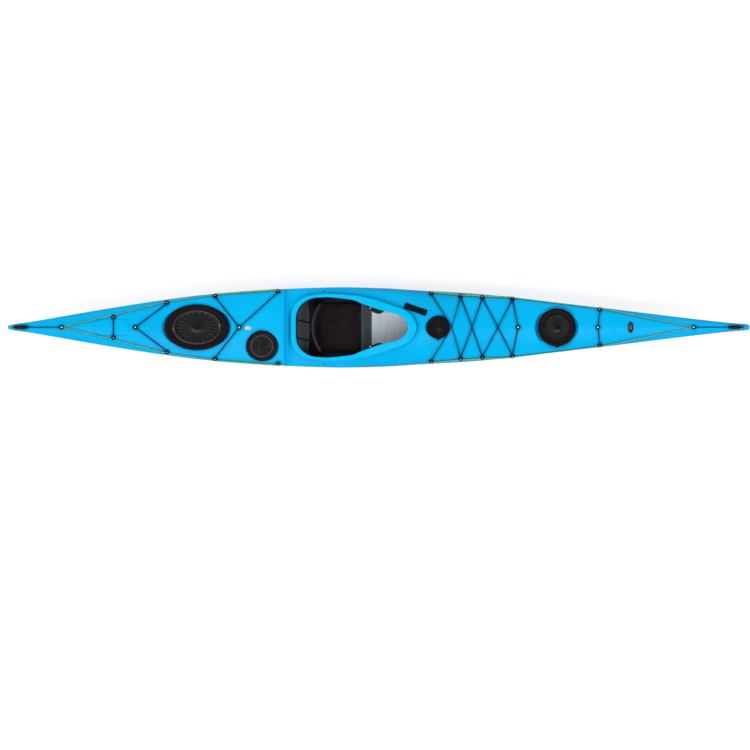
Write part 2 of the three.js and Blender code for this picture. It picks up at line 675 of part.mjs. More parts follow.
function controlBlock(length, width, low, high, shift = 0) {
  const box = block(shift - length / 2, shift + length / 2, -width / 2, width / 2, low, high);
  return solid(placed(box, controlFrame));
}

function controlTrack() {
  const body = controlBlock(CONTROL_LENGTH, CONTROL_WIDTH, -CONTROL_DEPTH, CONTROL_PROUD);
  return body.subtract(controlBlock(CONTROL_CHANNEL_LENGTH, CONTROL_CHANNEL_WIDTH,
    CONTROL_PROUD - CONTROL_CHANNEL_DEPTH, OVERRUN));
}

function controlKnob() {
  const rest = SLIDER_TRAVEL / 2 + KNOB_STEM / 2;
  const stem = controlBlock(KNOB_LENGTH - KNOB_STEM, CONTROL_CHANNEL_WIDTH - 2 * GAP,
    CONTROL_PROUD - CONTROL_CHANNEL_DEPTH + GAP, CONTROL_PROUD + 2 * GAP, rest);
  const grip = controlBlock(KNOB_LENGTH, KNOB_WIDTH, CONTROL_PROUD + GAP, CONTROL_PROUD + KNOB_RISE, rest);
  return stem.add(grip);
}

function cableTube(radius) {
  const route = CABLE_SHARES.map(([along, out, up]) =>
    new THREE.Vector3(along * LENGTH, out * HALF_BEAM, up * HEIGHT));
  return solid(tube(route, radius, CABLE_STEPS));
}

// Bulkheads
function uprightBulkhead(x) {
  return solid(block(x, x + BULKHEAD, -BEAM, BEAM, -OVERRUN, HEIGHT)).intersect(cavity);
}

function leaningBulkhead() {
  const lean = COCKPIT_BULKHEAD_TOP_X - COCKPIT_BULKHEAD_FOOT_X;
  const rise = HEIGHT * valueAt(RIDGE_SHARES, COCKPIT_BULKHEAD_TOP_X / LENGTH + 0.5);
  const line = (z) => COCKPIT_BULKHEAD_FOOT_X + (lean * z) / rise;
  const points = [
    [line(-OVERRUN), OVERRUN], [line(HEIGHT), -HEIGHT],
    [line(HEIGHT) - BULKHEAD, -HEIGHT], [line(-OVERRUN) - BULKHEAD, OVERRUN],
  ];
  return solid(prism(points, -BEAM, BEAM).rotateX(-Math.PI / 2)).intersect(cavity)
    .subtract(coamingKeepout);
}

// Seat: the pan is a trough whose height over the keel grows with the distance out
function troughPoint(turn, inset) {
  const out = Math.max(Math.cos(turn), 0) ** (2 / SEAT_POWER);
  const down = Math.max(Math.sin(turn), 0) ** (2 / SEAT_POWER);
  const foot = SKIN + GAP + inset;
  return [(SEAT_HALF - inset) * out, SEAT_TOP - (SEAT_TOP - foot) * down];
}

function troughOutline(inset) {
  const side = Array.from({ length: TROUGH_STEPS + 1 }, (_, i) =>
    troughPoint((Math.PI / 2) * (i / TROUGH_STEPS), inset));
  const top = [side[0][0], HEIGHT];
  const right = [top, ...side.slice(0, -1)];
  return [...right, [0, side[TROUGH_STEPS][1]], ...mirrored(right)];
}

function troughFill(inset, rear, front) {
  const outline = troughOutline(inset);
  return solid(loft([ringAt(rear, outline), ringAt(front, outline)]));
}

function seatPan() {
  const outside = troughFill(0, SEAT_REAR, SEAT_FRONT);
  const inside = troughFill(SEAT_WALL, SEAT_REAR - OVERRUN, SEAT_FRONT + OVERRUN);
  return outside.subtract(inside).intersect(cavity);
}

function padRing(share) {
  const fade = 2 * Math.abs(share - 0.5);
  const bulge = 1 - (1 - PAD_END_SHARE) * fade ** PAD_FLATNESS;
  const half = (SEAT_HALF - PAD_SIDE_SPACE) * (1 - PAD_TAPER_SHARE * (1 - bulge));
  const x = PAD_REAR + (PAD_FRONT - PAD_REAR) * share;
  const outs = Array.from({ length: PAD_STEPS + 1 }, (_, i) => 1 - (2 * i) / PAD_STEPS);
  const top = outs.map((out) =>
    [out * half, PAD_RISE - PAD_CROWN * (2 - bulge) + PAD_CROWN * (1 - out ** 2) * bulge]);
  const bottom = outs.reverse().map((out) =>
    [out * half, Math.min(troughHeight(out * half) + PAD_SPACE, PAD_RISE - PAD_CROWN - PAD_EDGE)]);
  return ringAt(x, [...top, ...bottom]);
}

function troughHeight(y) {
  const out = Math.min(Math.abs(y) / (SEAT_HALF - SEAT_WALL), 1);
  const foot = SKIN + GAP + SEAT_WALL;
  return SEAT_TOP - (SEAT_TOP - foot) * (1 - out ** SEAT_POWER) ** (1 / SEAT_POWER);
}

function seatPad() {
  const body = solid(loft(Array.from({ length: PAD_ROWS + 1 }, (_, i) => padRing(i / PAD_ROWS))));
  return body.intersect(troughFill(SEAT_WALL + GAP, SEAT_REAR, SEAT_FRONT));
}

function hipPad(side) {
  const inner = side * (SEAT_HALF - HIP_THICKNESS);
  const outer = side * SEAT_HALF;
  const pad = block(HIP_REAR, HIP_FRONT, Math.min(inner, outer), Math.max(inner, outer), HIP_FOOT, HIP_TOP);
  return solid(pad).intersect(troughFill(SEAT_WALL + GAP, SEAT_REAR, SEAT_FRONT)).intersect(cavity);
}

// Backband: an arc in plan, its top an arch
const bandX = (y) => BAND_CENTRE_X + BAND_SWEEP * (y / BAND_HALF) ** 2;

function bandStrip(front, back, half, low, high) {
  const ys = Array.from({ length: BAND_STEPS + 1 }, (_, i) => half * ((2 * i) / BAND_STEPS - 1));
  const ahead = ys.map((y) => [bandX(y) + front, y]);
  const behind = ys.map((y) => [bandX(y) + back, y]).reverse();
  return solid(prism([...ahead, ...behind], low, high));
}

function backband() {
  const arch = Array.from({ length: BAND_STEPS + 1 }, (_, i) => {
    const turn = (Math.PI * i) / BAND_STEPS;
    return [BAND_HALF * Math.cos(turn), BAND_SHOULDER + (BAND_TOP - BAND_SHOULDER) * Math.sin(turn)];
  });
  const front = [...arch, [-BAND_HALF, BAND_FOOT], [BAND_HALF, BAND_FOOT]];
  const form = solid(loft([ringAt(BAND_CENTRE_X - BEAM, front), ringAt(BAND_CENTRE_X + BEAM, front)]));
  return bandStrip(BAND_THICKNESS, 0, BAND_HALF, BAND_FOOT, BAND_TOP).intersect(form);
}

function strapTail(side) {
  const startX = bandX(BAND_HALF) - GAP - STRAP_THICKNESS;
  const startY = BAND_HALF + 2 * GAP;
  const points = [
    [startX, side * startY], [STRAP_END_X, side * STRAP_END_Y],
    [STRAP_END_X, side * (STRAP_END_Y + STRAP_THICKNESS)],
    [startX - STRAP_THICKNESS, side * (startY + STRAP_THICKNESS)],
  ];
  return solid(prism(points, STRAP_FOOT, STRAP_FOOT + STRAP_HEIGHT));
}

function backbandStrap() {
  const behind = bandStrip(-GAP, -GAP - STRAP_THICKNESS, BAND_HALF + STRAP_THICKNESS,
    STRAP_FOOT, STRAP_FOOT + STRAP_HEIGHT);
  const whole = joined([behind, strapTail(1), strapTail(-1)]);
  return whole.subtract(coamingKeepout);
}

// Thigh braces: their roots follow the cockpit's opening
const openingHalf = (x) =>
  (COCKPIT_WIDTH / 2) * valueAt(COAMING_SHARES.slice(1), (x - COCKPIT_REAR) / COCKPIT_LENGTH);

function thighBrace(side) {
  const rear = COCKPIT_REAR + BRACE_REAR_SHARE * COCKPIT_LENGTH;
  const points = BRACE_SHARES.map(([along, reach]) => [along * BRACE_LENGTH,
    side * (openingHalf(rear + along * BRACE_LENGTH) + BRACE_ROOT - reach * BRACE_REACH)]);
  const top = lipTop(rear) - BRACE_DROP;
  const plate = prism(points, -BRACE_THICKNESS, 0).rotateY(-degrees(BRACE_PITCH)).translate(rear, 0, top);
  return solid(plate).subtract(coamingKeepout).decompose()
    .reduce((best, piece) => (piece.volume() > best.volume() ? piece : best));
}

// Footrests: a rail along each side and a pedal that slides on it
function railFrame(side) {
  return new THREE.Matrix4().makeRotationZ(-side * degrees(RAIL_YAW))
    .setPosition(RAIL_PLACE_SHARE * LENGTH, side * RAIL_OUT_SHARE * HALF_BEAM, RAIL_RISE_SHARE * HEIGHT);
}

function sideBlock(side, x0, x1, inward, outward, z0, z1) {
  const [y0, y1] = [side * inward, side * outward].sort((a, b) => a - b);
  return solid(placed(block(x0, x1, y0, y1, z0, z1), railFrame(side)));
}

function footrestRail(side) {
  return sideBlock(side, 0, RAIL_LENGTH, 0, RAIL_BACK, -RAIL_HEIGHT / 2, RAIL_HEIGHT / 2).intersect(cavity);
}

function footPeg(side) {
  const slide = sideBlock(side, PEG_OFFSET, PEG_OFFSET + PEG_LENGTH, -GAP - PEG_BLOCK, -GAP,
    -PEG_BLOCK_HEIGHT / 2, PEG_BLOCK_HEIGHT / 2);
  const pedal = sideBlock(side, PEG_OFFSET, PEG_OFFSET + PEDAL_THICKNESS,
    -GAP - PEG_BLOCK - PEDAL_WIDTH, -GAP - PEG_BLOCK / 2,
    PEDAL_LIFT - PEDAL_HEIGHT / 2, PEDAL_LIFT + PEDAL_HEIGHT / 2);
  return slide.add(pedal);
}

// Deck fittings and cords
const fittingPlaces = {};
for (const [letter, station, out] of FITTING_SHARES) {
  for (const [name, side] of [['port', 1], ['starboard', -1]]) {
    const frame = deckFrame((station - 0.5) * LENGTH, side * out * HALF_BEAM);
    fittingPlaces[letter + '_' + name] = { frame, side };
  }
}
const ringPlaces = {};
for (const [name, station] of Object.entries(RING_SHARES)) {
  ringPlaces[name] = { frame: deckFrame((station - 0.5) * LENGTH, 0), side: 0 };
}

const capRows = [
  [FITTING_RADIUS, FITTING_HEIGHT - FITTING_BEVEL], [FITTING_RADIUS - FITTING_BEVEL, FITTING_HEIGHT],
  [BOLT_RADIUS, FITTING_HEIGHT], [BOLT_RADIUS, FITTING_HEIGHT + BOLT_RISE], [0, FITTING_HEIGHT + BOLT_RISE],
];

function cappedDisc({ frame }, low) {
  return solid(placed(turned([[0, low], [FITTING_RADIUS, low], ...capRows], FITTING_SIDES), frame));
}

// A ring that a cord is tied round
const ringBody = (place) => cappedDisc(place, -FITTING_HEIGHT).subtract(envelope);

// A cap on a narrow post, with the cords under it on both sides of the post
function fittingBody(place) {
  const post = block(-POST_LENGTH / 2, POST_LENGTH / 2, -POST_WIDTH / 2, POST_WIDTH / 2,
    -FITTING_HEIGHT, FITTING_HEIGHT);
  return cappedDisc(place, CAP_FLOOR).add(solid(placed(post, place.frame))).subtract(envelope);
}

const fitting = (letter, name) => fittingPlaces[letter + '_' + name];
const anchor = (place, out) => fromFrame(place.frame, 0, place.side * out, CORD_RISE);

function aboveDeck(x, y, rise) {
  return fromFrame(deckFrame(x, y), 0, 0, rise);
}

// One stretch of cord over the deck between two points, raised where rise says so
function stretch(from, to, rise = () => 0) {
  const distance = from.distanceTo(to);
  const steps = Math.max(Math.round(distance / CORD_STEP), 2);
  const points = Array.from({ length: steps + 1 }, (_, i) => {
    const share = i / steps;
    const spot = from.clone().lerp(to, share);
    const over = aboveDeck(spot.x, spot.y, CORD_RADIUS + CORD_CLEAR + rise(share, distance));
    return i === 0 || i === steps ? spot : over;
  });
  const lap = (end, next) => end.clone().sub(next).setLength(CORD_LAP).add(end);
  points[0] = lap(points[0], points[1]);
  points[steps] = lap(points[steps], points[steps - 1]);
  return solid(tube(points, CORD_RADIUS, steps));
}

// A long line that runs on through several points
function longLine(places) {
  const points = [];
  places.forEach((place, i) => {
    points.push(place);
    const next = places[i + 1];
    if (!next) return;
    const steps = Math.max(Math.round(place.distanceTo(next) / CORD_STEP / 2), 1);
    for (let k = 1; k < steps; k += 1) {
      const spot = place.clone().lerp(next, k / steps);
      points.push(aboveDeck(spot.x, spot.y, CORD_RADIUS + CORD_CLEAR));
    }
  });
  const length = new THREE.CatmullRomCurve3(points).getLength();
  return solid(tube(points, CORD_RADIUS, Math.round(length / CORD_STEP)));
}

// One side of a deck line, from its ring to the last fitting, where it turns back and is doubled
function lineSide(ring, letters, back, name) {
  const spots = letters.map(([letter, out]) => anchor(fitting(letter, name), out));
  const main = longLine([anchor(ringPlaces[ring], 0), ...spots]);
  const end = fitting(back[0], name);
  const doubled = longLine(back.map((letter) => anchor(fitting(letter, name), LINE_EDGE)));
  const link = solid(tube([anchor(end, LINE_OUT - CORD_LAP / 2), anchor(end, LINE_EDGE + CORD_LAP / 2)],
    CORD_RADIUS, 1));
  return joined([main, doubled, link]);
}

const SIDE_NAMES = ['port', 'starboard'];
const deckLine = (ring, letters, back) =>
  joined(SIDE_NAMES.map((name) => lineSide(ring, letters, back, name)));

const bungeeEnd = (letter, name) => anchor(fitting(letter, name), -BUNGEE_IN);
const toRing = (ring, letter, name) =>
  stretch(anchor(ringPlaces[ring], 0), bungeeEnd(letter, name), () => BUNGEE_LIFT / 2);
const toRings = (ring, letter) => SIDE_NAMES.map((name) => toRing(ring, letter, name));

const BOTH_WAYS = [['port', 'starboard', 0], ['starboard', 'port', CROSSING_RISE]];

// A leg that crosses the foredeck and its twin, which passes over it
function crossing(rear, front) {
  return BOTH_WAYS.map(([from, to, hump]) => {
    const bell = (away) => Math.exp(-((away / CORD_STEP) ** 2));
    return stretch(bungeeEnd(rear, from), bungeeEnd(front, to), (share, distance) =>
      BUNGEE_LIFT * Math.sin(Math.PI * share) + hump * bell((share - 0.5) * distance));
  });
}

// The rearmost pair is held up by the deck's ridge, in front of the pod hatch
function ridgeCrossing(rear, front) {
  return BOTH_WAYS.flatMap(([from, to, hump]) => {
    const top = aboveDeck(RIDGE_X, 0, RIDGE_RISE + hump);
    return [stretch(bungeeEnd(rear, from), top, (share) => (RIDGE_RISE + hump) * share),
      stretch(top, bungeeEnd(front, to), (share) => (RIDGE_RISE + hump) * (1 - share))];
  });
}

const bowBungee = () => joined([
  ...ridgeCrossing('e', 'f'), ...crossing('f', 'g'), ...crossing('g', 'h'), ...toRings('fore', 'h'),
]);
const sternLine = () => deckLine('stern',
  [['a', LINE_EDGE], ['b', LINE_OUT], ['c', LINE_OUT], ['d', LINE_OUT]], ['d', 'c']);
const bowLine = () => deckLine('bow',
  [['i', LINE_OUT], ['h', LINE_OUT], ['g', LINE_OUT], ['f', LINE_OUT], ['e', LINE_OUT]],
  ['e', 'f', 'g', 'h']);

// Toggles: each hangs by an eye on a rope loop through the end of the hull
function loopCentre(x) {
  return new THREE.Vector3(x, 0, deckHeight(x, 0) - LOOP_RADIUS + TOGGLE_RADIUS + TOGGLE_CLEAR);
}

function loopBody(x, grow = 0) {
  const ring = new THREE.TorusGeometry(LOOP_RADIUS, LOOP_CORD + grow, CORD_SIDES, LOOP_STEPS);
  return solid(ring.rotateY(Math.PI / 2).translate(...loopCentre(x)));
}

function toggleBody(x, inboard) {
  const eye = loopCentre(x).add(new THREE.Vector3(0, 0, LOOP_RADIUS));
  const near = eye.clone().setX(x + inboard * TOGGLE_EYE);
  const farX = x + inboard * TOGGLE_LENGTH;
  const far = new THREE.Vector3(farX, 0, deckHeight(farX, 0) + TOGGLE_RADIUS + TOGGLE_CLEAR);
  const grip = solid(tube([near, near.clone().lerp(far, 0.5), far], TOGGLE_RADIUS, 2, ROUND_SIDES));
  const lug = solid(rod(TOGGLE_EYE + LOOP_CORD, TOGGLE_RADIUS).translate(...eye));
  const bore = solid(rod(LOOP_CORD + EYE_CLEAR, OVERRUN).translate(...eye));
  return grip.add(lug).subtract(bore).subtract(envelope);
}

function toggleTail(ring, x, inboard) {
  const endX = x + inboard * (TOGGLE_LENGTH + TOGGLE_CLEAR + CORD_LAP);
  const start = new THREE.Vector3(endX, 0, deckHeight(endX, 0) + CORD_RISE);
  return stretch(start, anchor(ringPlaces[ring], 0));
}

// The kayak
const kayak = new THREE.Group();
const cockpit = new THREE.Group();
const deckGear = new THREE.Group();
kayak.add(cockpit, deckGear);

function add(name, body, material, group = kayak) {
  const mesh = new THREE.Mesh(toGeometry(body), material);
  mesh.name = name;
  group.add(mesh);
}

const hatchList = Object.entries(HATCHES);
const cable = cableTube(CABLE_RADIUS + GAP);
const loops = [STERN_LOOP_X, BOW_LOOP_X].map((x) => loopBody(x, GAP));

let hull = hullShell().subtract(skegSlot());
loops.forEach((loop) => { hull = hull.subtract(loop); });
add('hull', hull, BLUE);

let deck = deckShell();
hatchList.forEach(([, hatch]) => {
  const seat = hatchSeat(hatch);
  deck = deck.subtract(hatchCut(hatch)).add(seat.flat).add(seat.wall);
  deck = deck.subtract(hatchDisc(hatch, holeOf(hatch), -COLLAR_DEPTH - OVERRUN, OVERRUN));
});
deck = deck.subtract(cockpitCut()).add(coaming);
deck = deck.subtract(controlBlock(CONTROL_LENGTH + 2 * GAP, CONTROL_WIDTH + 2 * GAP, -OVERRUN, OVERRUN));
loops.forEach((loop) => { deck = deck.subtract(loop); });
add('deck', deck, BLUE);

add('bow_bulkhead', uprightBulkhead(BOW_BULKHEAD_SHARE * LENGTH), GREY);
add('stern_bulkhead', uprightBulkhead(STERN_BULKHEAD_SHARE * LENGTH).subtract(cable), GREY);
add('cockpit_bulkhead', leaningBulkhead().subtract(cable), GREY);

add('skeg_box', skegBox(), BLACK);
add('skeg_pin', skegPin(), STEEL);
add('skeg_blade', skegBlade(), BLACK);
add('skeg_control_track', controlTrack(), BLACK, deckGear);
add('skeg_control_knob', controlKnob(), BLACK, deckGear);
add('skeg_cable_tube', cableTube(CABLE_RADIUS), CORD);

hatchList.forEach(([name, hatch]) => {
  const rim = name === 'pod_hatch' ? podTub(hatch) : hatchRim(hatch);
  add(name === 'pod_hatch' ? 'pod_tub' : name + '_rim', rim, BLACK, deckGear);
  add(name + '_cover', hatchCover(hatch), RUBBER, deckGear);
});

add('seat_pan', seatPan(), BLACK, cockpit);
add('seat_pad', seatPad(), FOAM, cockpit);
add('backband', backband(), FOAM, cockpit);
add('backband_strap', backbandStrap(), CORD, cockpit);
[['port', 1], ['starboard', -1]].forEach(([name, side]) => {
  add('hip_pad_' + name, hipPad(side), FOAM, cockpit);
  add('thigh_brace_' + name, thighBrace(side), BLACK, cockpit);
  add('footrest_rail_' + name, footrestRail(side), BLACK, cockpit);
  add('foot_peg_' + name, footPeg(side), BLACK, cockpit);
});

Object.entries(fittingPlaces).forEach(([name, place]) => {
  add('deck_fitting_' + name, fittingBody(place), BLACK, deckGear);
});

const ringed = (ring, legs) => joined([ringBody(ringPlaces[ring]), ...legs]);
add('stern_deck_line', ringed('stern', [sternLine(), toggleTail('stern', STERN_LOOP_X, 1)]), LINE, deckGear);
add('bow_deck_line', ringed('bow', [bowLine(), toggleTail('bow', BOW_LOOP_X, -1)]), LINE, deckGear);
add('bow_bungee', ringed('fore', [bowBungee()]), CORD, deckGear);
add('bow_cross_bungee', ringed('cross', toRings('cross', 'i')), CORD, deckGear);
add('paddle_bungee', ringed('paddle', toRings('paddle', 'b')), CORD, deckGear);
add('aft_bungee', ringed('aft', [...toRings('aft', 'c'), toRing('aft', 'd', 'port')]), CORD, deckGear);
add('stern_bungee', stretch(bungeeEnd('a', 'port'), bungeeEnd('a', 'starboard')), CORD, deckGear);

add('stern_toggle', toggleBody(STERN_LOOP_X, 1), BLACK, deckGear);
add('stern_toggle_loop', loopBody(STERN_LOOP_X), LINE, deckGear);
add('bow_toggle', toggleBody(BOW_LOOP_X, -1), BLACK, deckGear);
add('bow_toggle_loop', loopBody(BOW_LOOP_X), LINE, deckGear);

export default kayak;
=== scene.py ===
"""The looks of a sea kayak, in metres: x runs to the bow, y to port and z up from the flat of the keel."""
import math

import bmesh
import bpy
import numpy as np
from mathutils import Euler, Matrix, Vector


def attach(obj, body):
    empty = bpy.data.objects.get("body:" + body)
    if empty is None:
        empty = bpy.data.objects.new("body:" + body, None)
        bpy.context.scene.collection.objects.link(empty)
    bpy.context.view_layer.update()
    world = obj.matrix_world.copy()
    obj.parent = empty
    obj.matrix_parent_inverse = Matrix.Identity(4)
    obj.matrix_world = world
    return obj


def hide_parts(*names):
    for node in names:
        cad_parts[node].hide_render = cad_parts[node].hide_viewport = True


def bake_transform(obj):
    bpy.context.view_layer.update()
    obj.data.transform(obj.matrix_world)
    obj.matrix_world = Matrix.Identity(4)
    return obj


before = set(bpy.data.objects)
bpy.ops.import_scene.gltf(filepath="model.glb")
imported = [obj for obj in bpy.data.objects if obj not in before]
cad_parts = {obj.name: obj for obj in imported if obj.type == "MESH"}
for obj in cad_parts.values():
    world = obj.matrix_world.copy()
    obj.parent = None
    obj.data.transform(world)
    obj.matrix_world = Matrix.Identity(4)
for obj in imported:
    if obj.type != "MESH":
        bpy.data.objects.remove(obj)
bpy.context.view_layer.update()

MM = 0.001

# Overall sizes, as in the part's source
LENGTH = 5.2
BEAM = 0.566
HEIGHT = 0.414
SKIN = 5 * MM
KEEL_FLAT = 44 * MM
GAP = 0.3 * MM
OVERRUN = 60 * MM
HALF_BEAM = BEAM / 2

# Hull lines: [station along the length from the stern, share of HEIGHT]
KEEL_SHARES = [
    [0, 0.785], [0.018, 0.49], [0.036, 0.23], [0.0415, 0.2], [0.08, 0.186], [0.114, 0.176],
    [0.135, 0.137], [0.183, 0.118], [0.234, 0.09], [0.293, 0.046], [0.35, 0.012], [0.398, 0],
    [0.6, 0], [0.695, 0.017], [0.751, 0.034], [0.803, 0.057], [0.853, 0.088], [0.8835, 0.13],
    [0.9006, 0.168], [0.912, 0.225], [0.928, 0.349], [0.961, 0.605], [0.995, 0.865], [1, 0.914],
]
SHEER_SHARES = [
    [0, 0.79], [0.013, 0.768], [0.035, 0.735], [0.0745, 0.65], [0.131, 0.542], [0.1656, 0.493],
    [0.2, 0.467], [0.263, 0.445], [0.4, 0.4], [0.5815, 0.35], [0.695, 0.41], [0.803, 0.51],
    [0.8695, 0.67], [0.924, 0.765], [0.97, 0.884], [1, 0.932],
]
RIDGE_SHARES = [
    [0, 0.807], [0.028, 0.791], [0.071, 0.737], [0.131, 0.662], [0.2, 0.576], [0.24, 0.556],
    [0.345, 0.558], [0.368, 0.564], [0.3765, 0.543], [0.382, 0.507], [0.4, 0.498], [0.445, 0.495],
    [0.463, 0.536], [0.5, 0.6425], [0.5515, 0.715], [0.5685, 0.717], [0.6, 0.739], [0.62, 0.694],
    [0.657, 0.652], [0.695, 0.628], [0.7155, 0.623], [0.7235, 0.6], [0.7785, 0.635],
    [0.8025, 0.66], [0.8145, 0.662], [0.8205, 0.698], [0.85, 0.728], [0.912, 0.852],
    [0.971, 0.964], [0.9975, 1], [0.9993, 0.984], [1, 0.95],
]
# [station, share of half the beam]
BREADTH_SHARES = [
    [0, 0.035], [0.0014, 0.05], [0.034, 0.148], [0.096, 0.347], [0.15, 0.515], [0.204, 0.67],
    [0.2585, 0.8], [0.3125, 0.89], [0.367, 0.95], [0.421, 0.99], [0.448, 1], [0.502, 0.98],
    [0.556, 0.922], [0.61, 0.868], [0.6645, 0.785], [0.7185, 0.67], [0.7725, 0.553],
    [0.8265, 0.433], [0.881, 0.307], [0.935, 0.187], [0.9715, 0.113], [0.996, 0.074],
    [0.999, 0.055], [1, 0.022],
]
# [station, power of the section's curve]
HULL_POWER_SHARES = [
    [0, 1.15], [0.12, 1.35], [0.3, 1.9], [0.45, 2.3], [0.6, 2.1], [0.75, 1.6], [0.88, 1.25], [1, 1.15],
]
DECK_POWER_SHARES = [
    [0, 1.8], [0.13, 1.6], [0.28, 1.75], [0.37, 2.3], [0.45, 2.3], [0.56, 1.85], [0.65, 1.65],
    [0.8, 1.6], [0.9, 1.7], [1, 1.8],
]
KEEL_FLAT_SHARE = 0.4
HOLLOW_ENDS_SHARE = [0.04, 0.95]
STATIONS = 380
END_STATIONS = [0.0003, 0.0007, 0.0011, 0.0026, 0.0036]
EVEN_SHARE = 0.7
HULL_STEPS = 22
DECK_STEPS = 24

# A low plinth round the cockpit: [share of LENGTH from midship, share of half the beam]
PLINTH_SHARES = [
    [-0.09, 1.05], [-0.035, 0.93], [-0.0058, 0.767], [0.0235, 0.558], [0.0413, 0.353],
    [0.0515, 0.16], [0.0548, 0],
]
PLINTH_RISE = 6 * MM
PLINTH_EDGE = 16 * MM
PLINTH_FADE = [-0.36, -0.16]

# A shallow crease across the deck behind the cockpit
CREASE_X = -0.651
CREASE_REACH = 9 * MM
CREASE_DEPTH = 3 * MM
CREASE_STATIONS = 21
CREASE_MARGIN = 0.0003

# Cockpit: the coaming's rows run from the rear centre round port to the front centre
COCKPIT_REAR = -0.579
COCKPIT_LENGTH = 0.785
COCKPIT_WIDTH = 0.422
LIP_REAR = -0.615
LIP_LENGTH = 0.886
LIP_WIDTH = 0.478
LIP_THICKNESS = 8 * MM
LIP_DROP = 17 * MM
LIP_EDGE = 9 * MM
LIP_ROUND = 8 * MM
COAMING_WALL = 8 * MM
COAMING_LOOP = 220
COAMING_SHARES = [
    [0, 0, 0, 0], [0, 0.33, 0, 0.35], [0.019, 0.61, 0.016, 0.6], [0.061, 0.8, 0.056, 0.79],
    [0.133, 0.95, 0.119, 0.91], [0.26, 1, 0.25, 0.99], [0.392, 0.966, 0.38, 0.985],
    [0.514, 0.9, 0.49, 0.945], [0.58, 0.8, 0.58, 0.895], [0.684, 0.66, 0.7, 0.775],
    [0.781, 0.545, 0.8, 0.645], [0.902, 0.434, 0.91, 0.49], [0.966, 0.28, 0.97, 0.28], [1, 0, 1, 0],
]
LIP_TOP_SHARES = [
    [0, 0.6], [0.05, 0.608], [0.25, 0.587], [0.363, 0.598], [0.475, 0.632], [0.586, 0.69],
    [0.697, 0.742], [0.81, 0.781], [0.885, 0.796], [1, 0.813],
]

# Hatches: place as [share of LENGTH from midship, share of BEAM to port, share of HEIGHT]
HATCHES = {
    "bow_hatch": dict(place_shares=(0.2413, 0, 0.575), pitch=4, roll=0, radius=0.137, length_share=1,
                      rim_inset=10 * MM),
    "stern_hatch": dict(place_shares=(-0.2456, 0, 0.533), pitch=0, roll=0, radius=0.157, length_share=1.43,
                        rim_inset=4 * MM),
    "day_hatch": dict(place_shares=(-0.1577, -0.23, 0.525), pitch=0, roll=9, radius=0.106, length_share=1,
                      rim_inset=4 * MM),
    "pod_hatch": dict(place_shares=(0.0808, 0, 0.716), pitch=8, roll=0, radius=0.076, length_share=1,
                      rim_inset=1 * MM),
}
HATCH_SIDES = 96
HATCH_RECESS = 26 * MM
SEAT_MARGIN = 5 * MM
SEAT_FLARE = 13 * MM
COLLAR_DEPTH = 44 * MM
RIM_WALL = 4 * MM
RIM_CLEAR = 1 * MM
RIM_FLANGE = 4 * MM
RIM_DEPTH = 18 * MM
RIM_RISE = 9 * MM
RIM_BEAD = 3 * MM
COVER_TOP = 15 * MM
POD_DEPTH = 110 * MM


# Curves through tables, with no overshoot between rows
def step_slope(table, row):
    (start, low, *_), (end, high, *_) = table[row:row + 2]
    return (high - low) / (end - start)


def slope_at(table, row):
    last = len(table) - 1
    if row in (0, last):
        return step_slope(table, min(row, last - 1))
    before, after = step_slope(table, row - 1), step_slope(table, row)
    return 0 if before * after <= 0 else 2 * before * after / (before + after)


def value_at(table, place):
    last = next((i for i, row in enumerate(table) if row[0] >= place), len(table) - 1)
    last = max(last, 1)
    start, low = table[last - 1][:2]
    end, high = table[last][:2]
    span = end - start
    t = min(max((place - start) / span, 0), 1)
    pull = slope_at(table, last - 1) * span * (t ** 3 - 2 * t ** 2 + t)
    push = slope_at(table, last) * span * (t ** 3 - t ** 2)
    blend = 3 * t ** 2 - 2 * t ** 3
    return low * (1 - blend) + high * blend + pull + push


def smooth_step(value):
    t = min(max(value, 0), 1)
    return t * t * (3 - 2 * t)


def catmull(points, count, closed=False):
    """Evenly shared points on a smooth curve through the given ones."""
    pts = [Vector(p) for p in points]
    n = len(pts)
    spans = n if closed else n - 1

    def at(j):
        if closed or 0 <= j < n:
            return pts[j % n]
        return 2 * pts[0] - pts[1] if j < 0 else 2 * pts[-1] - pts[-2]

    out = []
    for i in range(count):
        place = spans * i / (count if closed else count - 1)
        k = min(int(place), spans - 1)
        t = place - k
        p0, p1, p2, p3 = at(k - 1), at(k), at(k + 1), at(k + 2)
        d1, d2, d3 = [max((b - a).length, 1e-9) ** 0.5 for a, b in ((p0, p1), (p1, p2), (p2, p3))]
        if d1 < 1e-4:
            d1 = d2
        if d3 < 1e-4:
            d3 = d2
        m1 = ((p1 - p0) / d1 - (p2 - p0) / (d1 + d2) + (p2 - p1) / d2) * d2
        m2 = ((p2 - p1) / d2 - (p3 - p1) / (d2 + d3) + (p3 - p2) / d3) * d2
        h = t * t * (3 - 2 * t)
        out.append(p1 * (1 - h) + p2 * h + m1 * (t ** 3 - 2 * t * t + t) + m2 * (t ** 3 - t * t))
    return out


# Hull form
def section(share, inset=0.0):
    half = max(HALF_BEAM * value_at(BREADTH_SHARES, share) - inset, GAP)
    return dict(
        x=(share - 0.5) * LENGTH,
        keel=HEIGHT * value_at(KEEL_SHARES, share) + inset,
        sheer=HEIGHT * value_at(SHEER_SHARES, share),
        ridge=HEIGHT * value_at(RIDGE_SHARES, share) - inset,
        half=half,
        flat=min(KEEL_FLAT / 2 - inset / 2, half * KEEL_FLAT_SHARE),
        hull_power=value_at(HULL_POWER_SHARES, share),
        deck_power=value_at(DECK_POWER_SHARES, share),
    )


